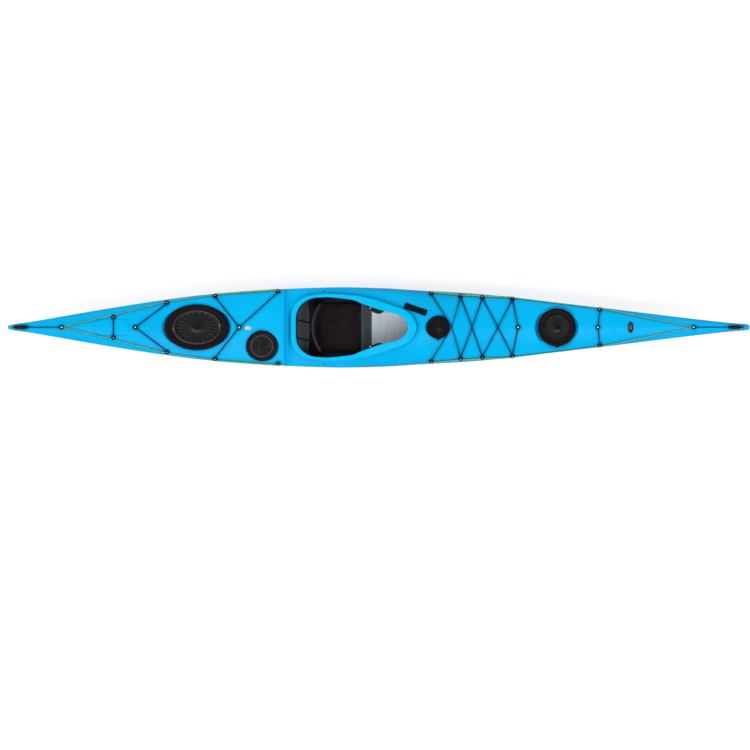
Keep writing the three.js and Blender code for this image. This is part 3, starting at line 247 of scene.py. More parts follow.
def hull_side(cut, steps):
    """Points of the port side as [out, up], from the keel's edge to the sheer."""
    side = []
    for i in range(steps + 1):
        turn = math.pi / 2 * (1 - i / steps)
        out = 0 if i == 0 else math.cos(turn) ** (2 / cut["hull_power"])
        down = 0 if i == steps else math.sin(turn) ** (2 / cut["hull_power"])
        depth = (cut["sheer"] - cut["keel"]) * down
        side.append([cut["flat"] + (cut["half"] - cut["flat"]) * out, cut["sheer"] - depth])
    return side


def plinth_at(x, y):
    """How far the plinth lifts the deck at a place."""
    half = HALF_BEAM * value_at(PLINTH_SHARES, x / LENGTH)
    if x / LENGTH > PLINTH_SHARES[-1][0]:
        return 0
    along = (PLINTH_SHARES[-1][0] * LENGTH - x) / PLINTH_EDGE
    inside = smooth_step(min((half - abs(y)) / PLINTH_EDGE, along))
    return PLINTH_RISE * inside * smooth_step((x - PLINTH_FADE[0]) / (PLINTH_FADE[1] - PLINTH_FADE[0]))


def crease_at(x):
    return -CREASE_DEPTH * math.exp(-((x - CREASE_X) / CREASE_REACH) ** 2)


def deck_side(cut, steps):
    """Points of the port side as [out, up], from the sheer to the ridge."""
    side = []
    for i in range(steps + 1):
        turn = math.pi / 2 * i / steps
        out = 0 if i == steps else math.cos(turn) ** (2 / cut["deck_power"])
        up = 0 if i == 0 else math.sin(turn) ** (2 / cut["deck_power"])
        y = cut["half"] * out
        lift = plinth_at(cut["x"], y) + crease_at(cut["x"]) * up if i else 0
        side.append([y, cut["sheer"] + (cut["ridge"] - cut["sheer"]) * up + lift])
    return side


def deck_height(x, y):
    cut = section(x / LENGTH + 0.5)
    out = min(abs(y) / cut["half"], 1)
    power = cut["deck_power"]
    return cut["sheer"] + (cut["ridge"] - cut["sheer"]) * (1 - out ** power) ** (1 / power)


def both_sides(x, side, closed_top):
    """A ring of 3-D points from a port side's points and their mirror image."""
    port = [(x, y, z) for y, z in side]
    starboard = [(x, -y, z) for y, z in reversed(side)]
    return port + (starboard[1:] if closed_top else starboard)


def lower_ring(cut, extra=0.0):
    side = hull_side(cut, HULL_STEPS)
    if extra:
        side.append([cut["half"], cut["sheer"] + extra])
    return both_sides(cut["x"], side, False)


def upper_ring(cut, extra=0.0):
    side = deck_side(cut, DECK_STEPS)
    if extra:
        side.insert(0, [cut["half"], cut["sheer"] - extra])
    return both_sides(cut["x"], side, True)


def whole_ring(cut):
    return both_sides(cut["x"], hull_side(cut, HULL_STEPS) + deck_side(cut, DECK_STEPS)[1:], True)


def station_list(low, high, count):
    """Shares of the length, closer together at both ends of the boat."""
    even = [i / (count - 1) for i in range(count)]
    eased = [EVEN_SHARE * e + (1 - EVEN_SHARE) * (0.5 - 0.5 * math.cos(math.pi * e)) for e in even]
    eased += END_STATIONS + [1 - e for e in END_STATIONS]
    shares = [low + (high - low) * e for e in eased]
    middle, reach = CREASE_X / LENGTH + 0.5, 3 * CREASE_REACH / LENGTH
    crease = [middle + reach * (2 * i / (CREASE_STATIONS - 1) - 1) for i in range(CREASE_STATIONS)]
    clear = [s for s in shares if not crease[0] - CREASE_MARGIN < s < crease[-1] + CREASE_MARGIN]
    return sorted(clear + crease)


# Meshes
def make_object(name, verts, faces, materials):
    mesh = bpy.data.meshes.new(name)
    mesh.from_pydata([tuple(v) for v in verts], [], [tuple(f) for f in faces])
    mesh.update()
    obj = bpy.data.objects.new(name, mesh)
    bpy.context.scene.collection.objects.link(obj)
    for material in materials:
        mesh.materials.append(material)
    mesh.shade_smooth()
    return obj


def sharpen(obj, degrees):
    """Smooth shading that keeps edges over an angle sharp."""
    obj.data.shade_smooth()
    obj.data.set_sharp_from_angle(angle=math.radians(degrees))
    return obj


def loft(rings, endless=False):
    """Verts and faces of a closed body through rings of points."""
    count = len(rings[0])
    verts = [Vector(p) for ring in rings for p in ring]
    faces = []
    last = len(rings) if endless else len(rings) - 1
    for r in range(last):
        here, there = r * count, ((r + 1) % len(rings)) * count
        for i in range(count):
            after = (i + 1) % count
            faces.append((here + i, here + after, there + after, there + i))
    if not endless:
        for ring, flip in ((0, True), (len(rings) - 1, False)):
            middle = sum((Vector(p) for p in rings[ring]), Vector()) / count
            centre = len(verts)
            verts.append(middle)
            for i in range(count):
                a, b = ring * count + i, ring * count + (i + 1) % count
                faces.append((centre, b, a) if flip else (centre, a, b))
    return verts, faces


def outward(obj, mixed=True):
    """Turns a closed mesh's faces outwards; mixed says that they may not agree yet."""
    bm = bmesh.new()
    bm.from_mesh(obj.data)
    if mixed:
        bmesh.ops.recalc_face_normals(bm, faces=bm.faces)
    if bm.calc_volume(signed=True) < 0:
        bmesh.ops.reverse_faces(bm, faces=bm.faces)
    bm.to_mesh(obj.data)
    bm.free()
    return obj


def lofted(name, rings, materials=(), endless=False):
    return outward(make_object(name, *loft(rings, endless), materials))


def circle(count):
    """The cosine and sine of each step of a whole turn."""
    turns = [2 * math.pi * i / count for i in range(count)]
    return [(math.cos(turn), math.sin(turn)) for turn in turns]


def in_mm(*rows):
    return [[value * MM for value in row] for row in rows]


def turned(name, rows, place, materials=(), sides=HATCH_SIDES, length_share=1.0, close=False):
    """A body turned about a frame's z, from [radius, height] rows; an open one ends on the axis."""
    verts, faces, rings = [], [], []
    for radius, height in rows:
        if radius < 1e-7:
            rings.append([len(verts)])
            verts.append(place @ Vector((0, 0, height)))
            continue
        rings.append(list(range(len(verts), len(verts) + sides)))
        verts += [place @ Vector((radius * length_share * along, radius * across, height))
                  for along, across in circle(sides)]
    for low, high in zip(rings, rings[1:] + ([rings[0]] if close else [])):
        for i in range(sides):
            after = (i + 1) % sides
            if len(low) == 1 and len(high) == 1:
                continue
            if len(low) == 1:
                faces.append((low[0], high[after], high[i]))
            elif len(high) == 1:
                faces.append((low[i], low[after], high[0]))
            else:
                faces.append((low[i], low[after], high[after], high[i]))
    return outward(make_object(name, verts, faces, materials))


def evaluated_mesh(obj):
    return bpy.data.meshes.new_from_object(obj.evaluated_get(bpy.context.evaluated_depsgraph_get()))


def boolean(target, others, operation):
    """Joins, cuts or intersects closed meshes, and takes the others away."""
    for other in others:
        modifier = target.modifiers.new("cut", "BOOLEAN")
        modifier.operation = operation
        modifier.solver = "MANIFOLD"
        modifier.material_mode = "TRANSFER"
        modifier.object = other
        made = evaluated_mesh(target)
        target.modifiers.remove(modifier)
        target.data = made
        bpy.data.objects.remove(other)
    return target


def apply_modifiers(obj):
    made = evaluated_mesh(obj)
    obj.modifiers.clear()
    obj.data = made
    return obj


def prism(name, points, low, high, place=Matrix.Identity(4), materials=()):
    """A closed body that stands on an outline in the xy plane of a frame."""
    rings = [[place @ Vector((x, y, z)) for x, y in points] for z in (low, high)]
    verts = [p for ring in rings for p in ring]
    n = len(points)
    faces = [tuple(range(n)), tuple(range(2 * n - 1, n - 1, -1))]
    faces += [(i, (i + 1) % n, n + (i + 1) % n, n + i) for i in range(n)]
    return outward(make_object(name, verts, faces, materials))


def bevelled(obj, width, segments=3, angle=35):
    modifier = obj.modifiers.new("bevel", "BEVEL")
    modifier.width = width
    modifier.segments = segments
    modifier.limit_method = "ANGLE"
    modifier.angle_limit = math.radians(angle)
    return sharpen(apply_modifiers(obj), 50)


def rounded_outline(points, radius, steps=4):
    """A closed outline with its corners rounded."""
    pts = [Vector(p) for p in points]
    out = []
    for i, p in enumerate(pts):
        before, after = pts[i - 1] - p, pts[(i + 1) % len(pts)] - p
        cut = min(radius, before.length * 0.45, after.length * 0.45)
        a, b = p + before.normalized() * cut, p + after.normalized() * cut
        for k in range(steps + 1):
            t = k / steps
            out.append(a * (1 - t) ** 2 + p * 2 * t * (1 - t) + b * t ** 2)
    return out


def tube_verts(pts, radius, sides, closed):
    """Rings of points round a path, with no twist from one to the next."""
    last = len(pts) - 1
    normal = Vector((0, 0, 1))
    verts = []
    for i, point in enumerate(pts):
        before = pts[i - 1] if closed or i else point
        after = pts[(i + 1) % len(pts)] if closed or i < last else point
        along = (after - before).normalized()
        normal = normal - along * normal.dot(along)
        if normal.length < 1e-4:
            normal = Vector((0, 1, 0)) - along * along.y
        normal.normalize()
        side = along.cross(normal)
        verts += [point + (normal * up + side * out) * radius for up, out in circle(sides)]
    return verts


def swept(name, points, radius, materials, sides=10, closed=False):
    """A tube along points, with its length and turn as UV."""
    pts = [Vector(p) for p in points]
    n = len(pts)
    verts = tube_verts(pts, radius, sides, closed)
    runs = [0.0]
    for here, there in zip(pts, pts[1:] + pts[:1]):
        runs.append(runs[-1] + (there - here).length)
    faces, uvs = [], []
    for r in range(n if closed else n - 1):
        here, there = r * sides, ((r + 1) % n) * sides
        start, end = runs[r:r + 2]
        for k in range(sides):
            after = (k + 1) % sides
            faces.append((here + k, here + after, there + after, there + k))
            low, high = k / sides, (k + 1) / sides
            uvs += [(start, low), (start, high), (end, high), (end, low)]
    if not closed:
        for first, flip in ((0, True), ((n - 1) * sides, False)):
            ring = list(range(first, first + sides))
            faces.append(tuple(reversed(ring)) if flip else tuple(ring))
            uvs += [(0, 0)] * sides
    obj = make_object(name, verts, faces, materials)
    layer = obj.data.uv_layers.new(name="UVMap")
    layer.data.foreach_set("uv", np.array(uvs, np.float32).ravel())
    return outward(obj, mixed=False)


def joined(name, objects):
    """One object of several, with their materials kept."""
    bm = bmesh.new()
    materials = []
    for obj in objects:
        offset = []
        for material in obj.data.materials:
            if material not in materials:
                materials.append(material)
            offset.append(materials.index(material))
        before = len(bm.faces)
        bm.from_mesh(obj.data)
        bm.faces.ensure_lookup_table()
        for face in bm.faces[before:]:
            face.material_index = offset[face.material_index] if offset else 0
    mesh = bpy.data.meshes.new(name)
    bm.to_mesh(mesh)
    bm.free()
    for obj in objects:
        bpy.data.objects.remove(obj)
    made = bpy.data.objects.new(name, mesh)
    bpy.context.scene.collection.objects.link(made)
    for material in materials:
        mesh.materials.append(material)
    return made


# Materials
GRAIN_DEPTH = 0.0004
MIX_STOPS = (0.3, 0.7)
# Painted shade from ambient occlusion: samples, reach, and the AO range from shaded to open
SHADE_AO_SAMPLES = 8
SHADE_AO_REACH = 30 * MM
SHADE_AO_OPEN = (0.55, 0.98)
# Painted shade in the deck's crease: how dark it gets, and how far it reaches
CREASE_SHADE = 0.5
CREASE_SHADE_REACH = 20 * MM
# Normal z over which the blue goes from painted shade on the sides to its lit top
LIT_FACING = (0.15, 0.85)
# Range of x over which the painted shade round the seat gives way to the bare grey floor
SEAT_SHADE_X = (-0.14, -0.06)
THREADS = 700
CELLS = 420
STRANDS = 260
FLECKS = (130, 0.62)
WEAVE = 520


def linear(*levels):
    """A colour given in the usual 0 to 255 steps, as the linear value that a shader takes."""
    shares = [level / 255 for level in levels]
    return (*[v / 12.92 if v <= 0.04045 else ((v + 0.055) / 1.055) ** 2.4 for v in shares], 1)


def new_node(tree, kind, inputs=(), **settings):
    """A shader node with its settings, and its inputs set to values or linked to other nodes' outputs."""
    node = tree.nodes.new("ShaderNode" + kind)
    for name, value in settings.items():
        setattr(node, name, value)
    for socket, value in dict(inputs).items():
        if isinstance(value, bpy.types.NodeSocket):
            tree.links.new(value, node.inputs[socket])
        else:
            node.inputs[socket].default_value = value
    return node


class Surface:
    """A procedural material: colour mottled by noise, uneven roughness and a fine bump."""

    def __init__(self, name, dark, light, roughness, spread=0.06, mottle=9, grain=600, bump=0.15,
                 metallic=0.0, specular=0.5, stretch=(1, 1, 1)):
        self.material = bpy.data.materials.new(name)
        self.material.use_nodes = True
        self.tree = self.material.node_tree
        self.shader = self.tree.nodes["Principled BSDF"]
        self.set(Metallic=metallic, Specular_IOR_Level=specular)
        coordinates = self.node("TexCoord")
        self.spot, self.uv = coordinates.outputs["Object"], coordinates.outputs["UV"]
        self.place = self.node("Mapping", {"Vector": self.spot, "Scale": stretch}).outputs["Vector"]
        self.mottling = self.noise(mottle, 4)
        self.colour = self.mixed(self.mottling, dark, light)
        self.feed("Base Color", self.colour)
        limits = {"To Min": roughness - spread, "To Max": roughness + spread}
        rough = self.node("MapRange", {"Value": self.noise(mottle * 3, 3), **limits})
        self.feed("Roughness", rough.outputs["Result"])
        self.bump = None
        self.relief(self.noise(grain, 2), bump, GRAIN_DEPTH)

    def node(self, kind, inputs=(), **settings):
        return new_node(self.tree, kind, inputs, **settings)

    def feed(self, name, output):
        self.tree.links.new(output, self.shader.inputs[name])

    def set(self, **values):
        for name, value in values.items():
            self.shader.inputs[name.replace("_", " ")].default_value = value

    def noise(self, scale, detail):
        return self.node("TexNoise", {"Scale": scale, "Detail": detail, "Vector": self.place}).outputs["Fac"]

    def mixed(self, factor, dark, light):
        node = self.node("ValToRGB", {"Fac": factor})
        for stop, position, colour in zip(node.color_ramp.elements, MIX_STOPS, (dark, light)):
            stop.position = position
            stop.color = linear(*colour)
        return node.outputs["Color"]

    def blend(self, factor, first, second):
        first, second = [linear(*c) if isinstance(c, tuple) else c for c in (first, second)]
        return self.node("Mix", {"Factor": factor, 6: first, 7: second}, data_type="RGBA").outputs[2]

    def math(self, operation, first, second=0.0):
        return self.node("Math", {0: first, 1: second}, operation=operation).outputs[0]

    def axis(self, vector, name):
        return self.node("SeparateXYZ", {0: vector}).outputs[name]

    def ramp(self, value, low, high, top=1.0, curve="SMOOTHSTEP"):
        """0 to top where the value goes from low to high."""
        limits = {"From Min": low, "From Max": high, "To Max": top}
        return self.node("MapRange", {"Value": value, **limits}, interpolation_type=curve).outputs["Result"]

    def relief(self, height, strength, distance):
        """A bump over the one that is there."""
        inputs = {"Height": height, "Strength": strength, "Distance": distance}
        if self.bump is not None:
            inputs["Normal"] = self.bump
        self.bump = self.node("Bump", inputs).outputs["Normal"]
        self.feed("Normal", self.bump)

    def wave(self, scale, direction, vector=None, distortion=0.0):
        inputs = {"Scale": scale, "Distortion": distortion, "Vector": vector or self.place}
        return self.node("TexWave", inputs, bands_direction=direction).outputs["Fac"]


def shaded_blue_shell(name, dark, light):
    """Gloss blue with painted shade: lighter where it faces up and darker down the sides, darker along the
    deck's crease, and darker beside its fittings where ambient occlusion finds them.
    """
    made = Surface(name, dark, light, 0.34, 0.05, 3, 900, 0.08, specular=0.05)
    # Painted shade: a darker blue for faces that turn down the sides, away from the light above
    side = made.mixed(made.mottling, (4, 138, 212), (10, 146, 222))
    lit_share = made.ramp(made.axis(made.node("NewGeometry").outputs["Normal"], "Z"), *LIT_FACING)
    away = made.math("ABSOLUTE", made.math("ADD", made.axis(made.spot, "X"), -CREASE_X))
    skin = made.blend(lit_share, side, made.colour)
    # Painted shade: the blue turns darker within reach of the crease
    crease_shaded = made.blend(made.ramp(away, CREASE_SHADE_REACH, 0, CREASE_SHADE), skin, (0, 132, 205))
    # Painted shade: ambient occlusion turns the blue deep where fittings, cords, hatches and the lip stand
    # close
    shade_ao = made.node("AmbientOcclusion", {"Distance": SHADE_AO_REACH}, samples=SHADE_AO_SAMPLES)
    unshaded_share = made.ramp(shade_ao.outputs["AO"], *SHADE_AO_OPEN, curve="LINEAR")
    made.feed("Base Color", made.blend(unshaded_share, (0, 92, 150), crease_shaded))
    made.relief(made.noise(55, 3), 0.08, 0.0015)
    return made.material


def grey_inside_seat_shade():
    """Light grey inside the hull, with painted shade: near black round and behind the seat, bare grey in the
    front of the cockpit.
    """
    made = Surface("inside_grey_seat_shade", (208, 218, 224), (228, 235, 240), 0.5, 0.08, 14, 500, 0.2,
                   stretch=(3, 0.35, 1), specular=0.06)
    # Painted shade of the seat: near black aft, bare grey ahead over this range of x
    ahead = made.ramp(made.axis(made.spot, "X"), *SEAT_SHADE_X)
    made.feed("Base Color", made.blend(ahead, (10, 11, 14), made.colour))
    return made.material


def fabric(name, dark, light):
    """Cloth: threads both ways under a soft sheen."""
    made = Surface(name, dark, light, 0.88, 0.05, 22, 900, 0.4, specular=0.12)
    threads = [made.wave(THREADS, axis, distortion=1.2) for axis in "XY"]
    made.relief(made.math("MULTIPLY", *threads), 0.5, 0.0008)
    made.set(Sheen_Weight=0.08, Sheen_Roughness=0.5)
    return made.material


def foam():
    made = Surface("foam", (28, 24, 26), (42, 36, 38), 0.92, 0.04, 40, 900, 0.5, specular=0.12)
    cells = made.node("TexVoronoi", {"Scale": CELLS, "Vector": made.place})
    made.relief(cells.outputs["Distance"], 0.4, 0.0008)
    return made.material


def cord(name, dark, light, fleck=None):
    """Braid: two sets of strands that wind round the cord."""
    made = Surface(name, dark, light, 0.7, 0.08, 160, 1500, 0.3, specular=0.15)
    strands = []
    for lean in (3, -3):
        wound = made.node("Mapping", {"Scale": (STRANDS, lean, 1), "Vector": made.uv})
        strands.append(made.wave(1.0, "DIAGONAL", wound.outputs["Vector"]))
    made.relief(made.math("MULTIPLY", *strands), 0.6, 0.0008)
    if fleck:
        spots = made.math("GREATER_THAN", made.noise(FLECKS[0], 2), FLECKS[1])
        made.feed("Base Color", made.blend(spots, made.colour, fleck))
    return made.material


def webbing():
    made = Surface("webbing", (30, 28, 33), (48, 46, 52), 0.8, 0.05, 90, 900, 0.3, specular=0.15)
    made.relief(made.wave(WEAVE, "Z"), 0.6, 0.0007)
    return made.material


# Plain finishes: dark and light colour, roughness, its spread, mottle, grain and bump
def finish(name, *values, **named):
    return Surface(name, *values, **named).material


BLUE = shaded_blue_shell("shell_blue_painted_shade", (0, 184, 246), (0, 194, 255))
# Painted highlight: a lighter copy of the shell blue for the coaming's lip
LIT_LIP_BLUE = shaded_blue_shell("lip_blue_painted_highlight", (0, 194, 250), (0, 202, 255))
# Painted shade: a dark blue on the sloped walls of the hatch recesses
RECESS = finish("recess_painted_shade", (0, 62, 104), (0, 80, 130), 0.45, 0.08, 20, 900, 0.1, specular=0.1)
INSIDE = grey_inside_seat_shade()
SLATE = finish("slate_panel", (70, 74, 81), (82, 86, 93), 0.55, 0.08, 18, 400, 0.3, specular=0.15)
# Painted light: a lighter copy of the slate, lifting the rear panel out of the cockpit's shade
LIT_PANEL_SLATE = finish("panel_slate_painted_light", (102, 113, 120), (118, 129, 136), 0.5, 0.08, 14, 400, 0.3, specular=0.2)
BLACK = finish("black_plastic", (2, 10, 14), (10, 17, 22), 0.42, 0.08, 25, 900, 0.35, specular=0.12)
SKEG_BLACK = finish("skeg_plastic", (34, 34, 35), (45, 45, 46), 0.45, 0.08, 18, 700, 0.3)
STEEL = finish("steel", (178, 182, 186), (206, 209, 212), 0.28, 0.06, 60, 900, 0.1, 1.0, stretch=(1, 6, 1))
DULL_STEEL = finish("dull_steel", (150, 154, 158), (182, 185, 188), 0.42, 0.08, 60, 900, 0.2, 1.0)
RUBBER = finish("hatch_rubber", (10, 4, 8), (20, 12, 17), 0.36, 0.08, 16, 700, 0.25, specular=0.06)
RIBBED = finish("ribbed_rubber", (12, 7, 10), (26, 22, 25), 0.28, 0.06, 30, 700, 0.2, specular=0.1)
RING_RUBBER = finish("ring_rubber", (14, 8, 12), (26, 20, 24), 0.2, 0.05, 30, 700, 0.15, specular=0.36)
SEAT_CLOTH = fabric("seat_cloth", (28, 19, 24), (40, 28, 34))
BAND_CLOTH = fabric("band_cloth", (22, 20, 24), (36, 33, 38))
PIPING = fabric("piping", (66, 64, 76), (88, 85, 98))
FOAM = foam()
SHOCK_CORD = cord("shock_cord", (6, 36, 58), (12, 54, 82))
DECK_LINE = cord("deck_line", (108, 186, 100), (152, 210, 126), (206, 234, 190))
BLACK_CORD = cord("black_cord", (18, 19, 21), (34, 35, 38))
WEBBING = webbing()
RED_BROWN = finish("plug_face", (92, 44, 36), (126, 60, 47), 0.5, 0.08, 60, 500, 0.3)
WHITE_PLASTIC = finish("white_plastic", (214, 216, 216), (238, 239, 239), 0.4, 0.05, 60, 500, 0.2)


def place_piece(obj, body="kayak", stands_for=()):
    """A finished piece: rides on its body and may stand for CAD nodes, which it hides."""
    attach(obj, body)
    if stands_for:
        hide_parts(*stands_for)
    return obj


# Camera, lamps and floor
CAMERA_LENS = 300
SENSOR = 36
VIEW_WIDTH = 5.277
VIEW_CENTRE = (-0.0246, -0.335)
VIEW_PLANE = 0.2
VIEW_END = 200
FLOOR_RISE = -0.206
FLOOR_SIZE = 600
FLOOR_GREY = (0.55, 0.55, 0.55, 1)
FLOOR_GLOW = 0.66
WORLD_LEVEL = 0.5
# name: level, spread in radians, direction
LAMPS = {
    "key_lamp": (1.17, 0.5, (0.1, 0.34, -0.93)),
    "stern_lamp": (0.35, 0.12, (0.62, 0.1, -0.8)),
    "port_lamp": (0.25, 0.6, (-0.1, -0.9, -0.5)),
}


def add_camera():
    data = bpy.data.cameras.new("camera")
    data.lens = CAMERA_LENS
    data.sensor_width = SENSOR
    data.clip_end = VIEW_END
    camera = bpy.data.objects.new("camera", data)
    camera.location = (*VIEW_CENTRE, VIEW_PLANE + VIEW_WIDTH * CAMERA_LENS / SENSOR)
    bpy.context.scene.collection.objects.link(camera)
    bpy.context.scene.camera = camera


def background_rays(tree):
    """1 for a ray that shows the background: the camera's own, or one by way of gloss or glass."""
    path = new_node(tree, "LightPath")
    seen = path.outputs["Is Camera Ray"]
    for name in ("Is Glossy Ray", "Is Transmission Ray"):
        seen = new_node(tree, "Math", {0: seen, 1: path.outputs[name]}, operation="MAXIMUM").outputs[0]
    return seen


def add_world():
    world = bpy.data.worlds.new("world")
    bpy.context.scene.world = world
    world.use_nodes = True
    tree = world.node_tree
    background = tree.nodes["Background"]
    background.inputs["Color"].default_value = (1, 1, 1, 1)
    level = new_node(tree, "MapRange", {"Value": background_rays(tree), "To Min": WORLD_LEVEL, "To Max": 1})
    tree.links.new(level.outputs["Result"], background.inputs["Strength"])


def add_sun(name, level, spread, direction):
    data = bpy.data.lights.new(name, "SUN")
    data.energy = level
    data.angle = spread
    sun = bpy.data.objects.new(name, data)
    sun.rotation_mode = "QUATERNION"
    sun.rotation_quaternion = Vector(direction).to_track_quat("-Z", "Y")
    bpy.context.scene.collection.objects.link(sun)


def floor_white():
    material = bpy.data.materials.new("floor_white")
    material.use_nodes = True
    tree = material.node_tree
    tree.nodes.remove(tree.nodes["Principled BSDF"])
    diffuse = new_node(tree, "BsdfDiffuse", {"Color": FLOOR_GREY})
    level = new_node(tree, "Math", {0: background_rays(tree), 1: FLOOR_GLOW}, operation="MULTIPLY")
    glow = new_node(tree, "Emission", {"Strength": level.outputs[0]})
    both = new_node(tree, "AddShader", {0: diffuse.outputs[0], 1: glow.outputs[0]})
    tree.links.new(both.outputs[0], tree.nodes["Material Output"].inputs["Surface"])
    return material


def add_floor():
    half = FLOOR_SIZE / 2
    corners = [(-half, -half), (half, -half), (half, half), (-half, half)]
    verts = [(x, y, FLOOR_RISE) for x, y in corners]
    make_object("floor", verts, [(0, 1, 2, 3)], [floor_white()])


bpy.context.scene.view_settings.view_transform = "Standard"
add_camera()
add_world()
for lamp_name, lamp_values in LAMPS.items():
    add_sun(lamp_name, *lamp_values)
add_floor()


# Cutters
BORE_REACH = 0.03


def cutter_box(x0, x1, y0, y1, z0, z1, place=Matrix.Identity(4), materials=()):
    return prism("cutter", [(x0, y0), (x1, y0), (x1, y1), (x0, y1)], z0, z1, place, materials)


def round_hole(radius, place, materials):
    """A cutter along a frame's z."""
    rows = [[0, -BORE_REACH], [radius, -BORE_REACH], [radius, BORE_REACH], [0, BORE_REACH]]
    return turned("bore", rows, place, materials, 24)


# Shell of the boat
def shell(name, ring):
    outside = [ring(section(share)) for share in station_list(0, 1, STATIONS)]
    hollow = [ring(section(share, SKIN), OVERRUN) for share in station_list(*HOLLOW_ENDS_SHARE, STATIONS)]
    skin = lofted(name, outside, [BLUE])
    return boolean(skin, [lofted("hollow", hollow, [INSIDE])], "DIFFERENCE")


def outer_form():
    return lofted("form", [whole_ring(section(share)) for share in station_list(0, 1, STATIONS)], [BLUE])


def hatch_place(hatch):
    along, across, up = hatch["place_shares"]
    turn = Euler((math.radians(hatch["roll"]), math.radians(-hatch["pitch"]), 0))
    return Matrix.Translation((along * LENGTH, across * BEAM, up * HEIGHT)) @ turn.to_matrix().to_4x4()


def bore_of(hatch):
    return hatch["radius"] - HATCH_RECESS


def hole_of(hatch):
    return bore_of(hatch) + RIM_WALL + GAP


def seat_of(hatch):
    return hatch["radius"] + SEAT_MARGIN


def hatch_turned(name, hatch, rows, materials, close=False, sides=HATCH_SIDES):
    return turned(name, rows, hatch_place(hatch), materials, sides, hatch["length_share"], close)


def set_hatch(deck, hatch):
    """Lets a hatch's recess and collar into the deck."""
    seat, hole = seat_of(hatch), hole_of(hatch)
    brim = seat + SEAT_FLARE
    deep = -COLLAR_DEPTH - OVERRUN
    recess = [[0, 0], [seat, 0], [brim, SEAT_FLARE], [brim, OVERRUN], [0, OVERRUN]]
    flat = [[hole, -COLLAR_DEPTH], [seat, -COLLAR_DEPTH], [seat, 0], [hole, 0]]
    wall = [[seat - GAP, -COLLAR_DEPTH], [brim + SKIN, -COLLAR_DEPTH], [brim + SKIN, COLLAR_DEPTH],
            [brim, SEAT_FLARE], [seat - GAP, 0]]
    wall_body = boolean(hatch_turned("wall", hatch, wall, [BLUE], True), [outer_form()], "INTERSECT")
    opening = hatch_turned("hole", hatch, [[0, deep], [hole, deep], [hole, OVERRUN], [0, OVERRUN]], [BLUE])
    # The recess walls take the painted shade
    boolean(deck, [hatch_turned("recess", hatch, recess, [RECESS])], "DIFFERENCE")
    boolean(deck, [hatch_turned("flat", hatch, flat, [BLUE], True), wall_body], "UNION")
    return boolean(deck, [opening], "DIFFERENCE")


def coaming_rows(side):
    """Points of the opening's edge and the lip's rim on one side, from the rear to the front."""
    rows = []
    for open_x, open_y, lip_x, lip_y in COAMING_SHARES:
        inner = (COCKPIT_REAR + open_x * COCKPIT_LENGTH, side * open_y * COCKPIT_WIDTH / 2, 0)
        outer = (LIP_REAR + lip_x * LIP_LENGTH, side * lip_y * LIP_WIDTH / 2, 0)
        rows.append((inner, outer))
    return rows


def coaming_loops():
    rows = coaming_rows(1) + coaming_rows(-1)[-2:0:-1]
    return [catmull([r[k] for r in rows], COAMING_LOOP, closed=True) for k in (0, 1)]


OPENING_LOOP, LIP_LOOP = coaming_loops()


def lip_top(x):
    return HEIGHT * value_at(LIP_TOP_SHARES, (x - LIP_REAR) / LIP_LENGTH)


def coaming_ring(edge, rim):
    out = (rim - edge).normalized()
    width = (rim - edge).length
    wall = edge + out * COAMING_WALL
    foot = deck_height(wall.x, wall.y) - SKIN - COAMING_WALL / 2
    top = lip_top(rim.x)
    edge_in, drop, under = width - LIP_EDGE, top - LIP_DROP, top - LIP_THICKNESS
    profile = [
        (0, foot), (0, top), (width, top), (width, drop), (edge_in, drop), (edge_in, under),
        (COAMING_WALL, under), (COAMING_WALL, foot),
    ]
    return [(*(edge + out * reach).xy, height) for reach, height in rounded_outline(profile, LIP_ROUND, 5)]


# Toggles and their rope loops
TOGGLE_LENGTH = 96 * MM
TOGGLE_RADIUS = 15 * MM
TOGGLE_CLEAR = 2 * MM
TOGGLE_EYE = 8 * MM
LOOP_RADIUS = 21 * MM
LOOP_CORD = 3 * MM
LOOP_STEPS = 40
STERN_LOOP_X = 0.047 - LENGTH / 2
BOW_LOOP_X = LENGTH / 2 - 0.059


def loop_centre(x):
    return Vector((x, 0, deck_height(x, 0) - LOOP_RADIUS + TOGGLE_RADIUS + TOGGLE_CLEAR))


def rope_loop(name, x, radius, materials):
    """A ring of rope through the end of the hull."""
    centre = loop_centre(x)
    points = [centre + Vector((0, LOOP_RADIUS * out, LOOP_RADIUS * up)) for out, up in circle(LOOP_STEPS)]
    return swept(name, points, radius, materials, 12, closed=True)


def loop_holes():
    return [rope_loop("hole", x, LOOP_CORD + GAP, [BLUE]) for x in (STERN_LOOP_X, BOW_LOOP_X)]


# Skeg and its slot in the hull
SKEG_PIVOT = Vector((-1.90398, 0, 0.097))
SKEG_DOWN = 54.5
SKEG_LENGTH = 0.356
SKEG_CHORD = 0.086
SKEG_HEAD = 22 * MM
SKEG_THICKNESS = 9 * MM
SKEG_SLOT = 16 * MM
SKEG_SLOT_ENDS = (-0.369, 0.029)
SKEG_SLOT_TOP = 0.175


def make_hull():
    hull = shell("hull_shell", lower_ring)
    rear, front = [SKEG_PIVOT.x + end for end in SKEG_SLOT_ENDS]
    slot = cutter_box(rear, front, -SKEG_SLOT / 2, SKEG_SLOT / 2, -OVERRUN, SKEG_SLOT_TOP, materials=[BLUE])
    boolean(hull, [slot] + loop_holes(), "DIFFERENCE")
    place_piece(sharpen(hull, 32), stands_for=["hull"])


# Skeg control: its frame on the deck
CONTROL_PLACE = (0.26104, 0.12701)
CONTROL_HEADING = -21.2
CONTROL_LENGTH = 0.166
CONTROL_WIDTH = 0.045
CONTROL_DEPTH = 0.02
CONTROL_PROUD = 3 * MM
CONTROL_CHANNEL = (0.142, 0.016, 0.014)


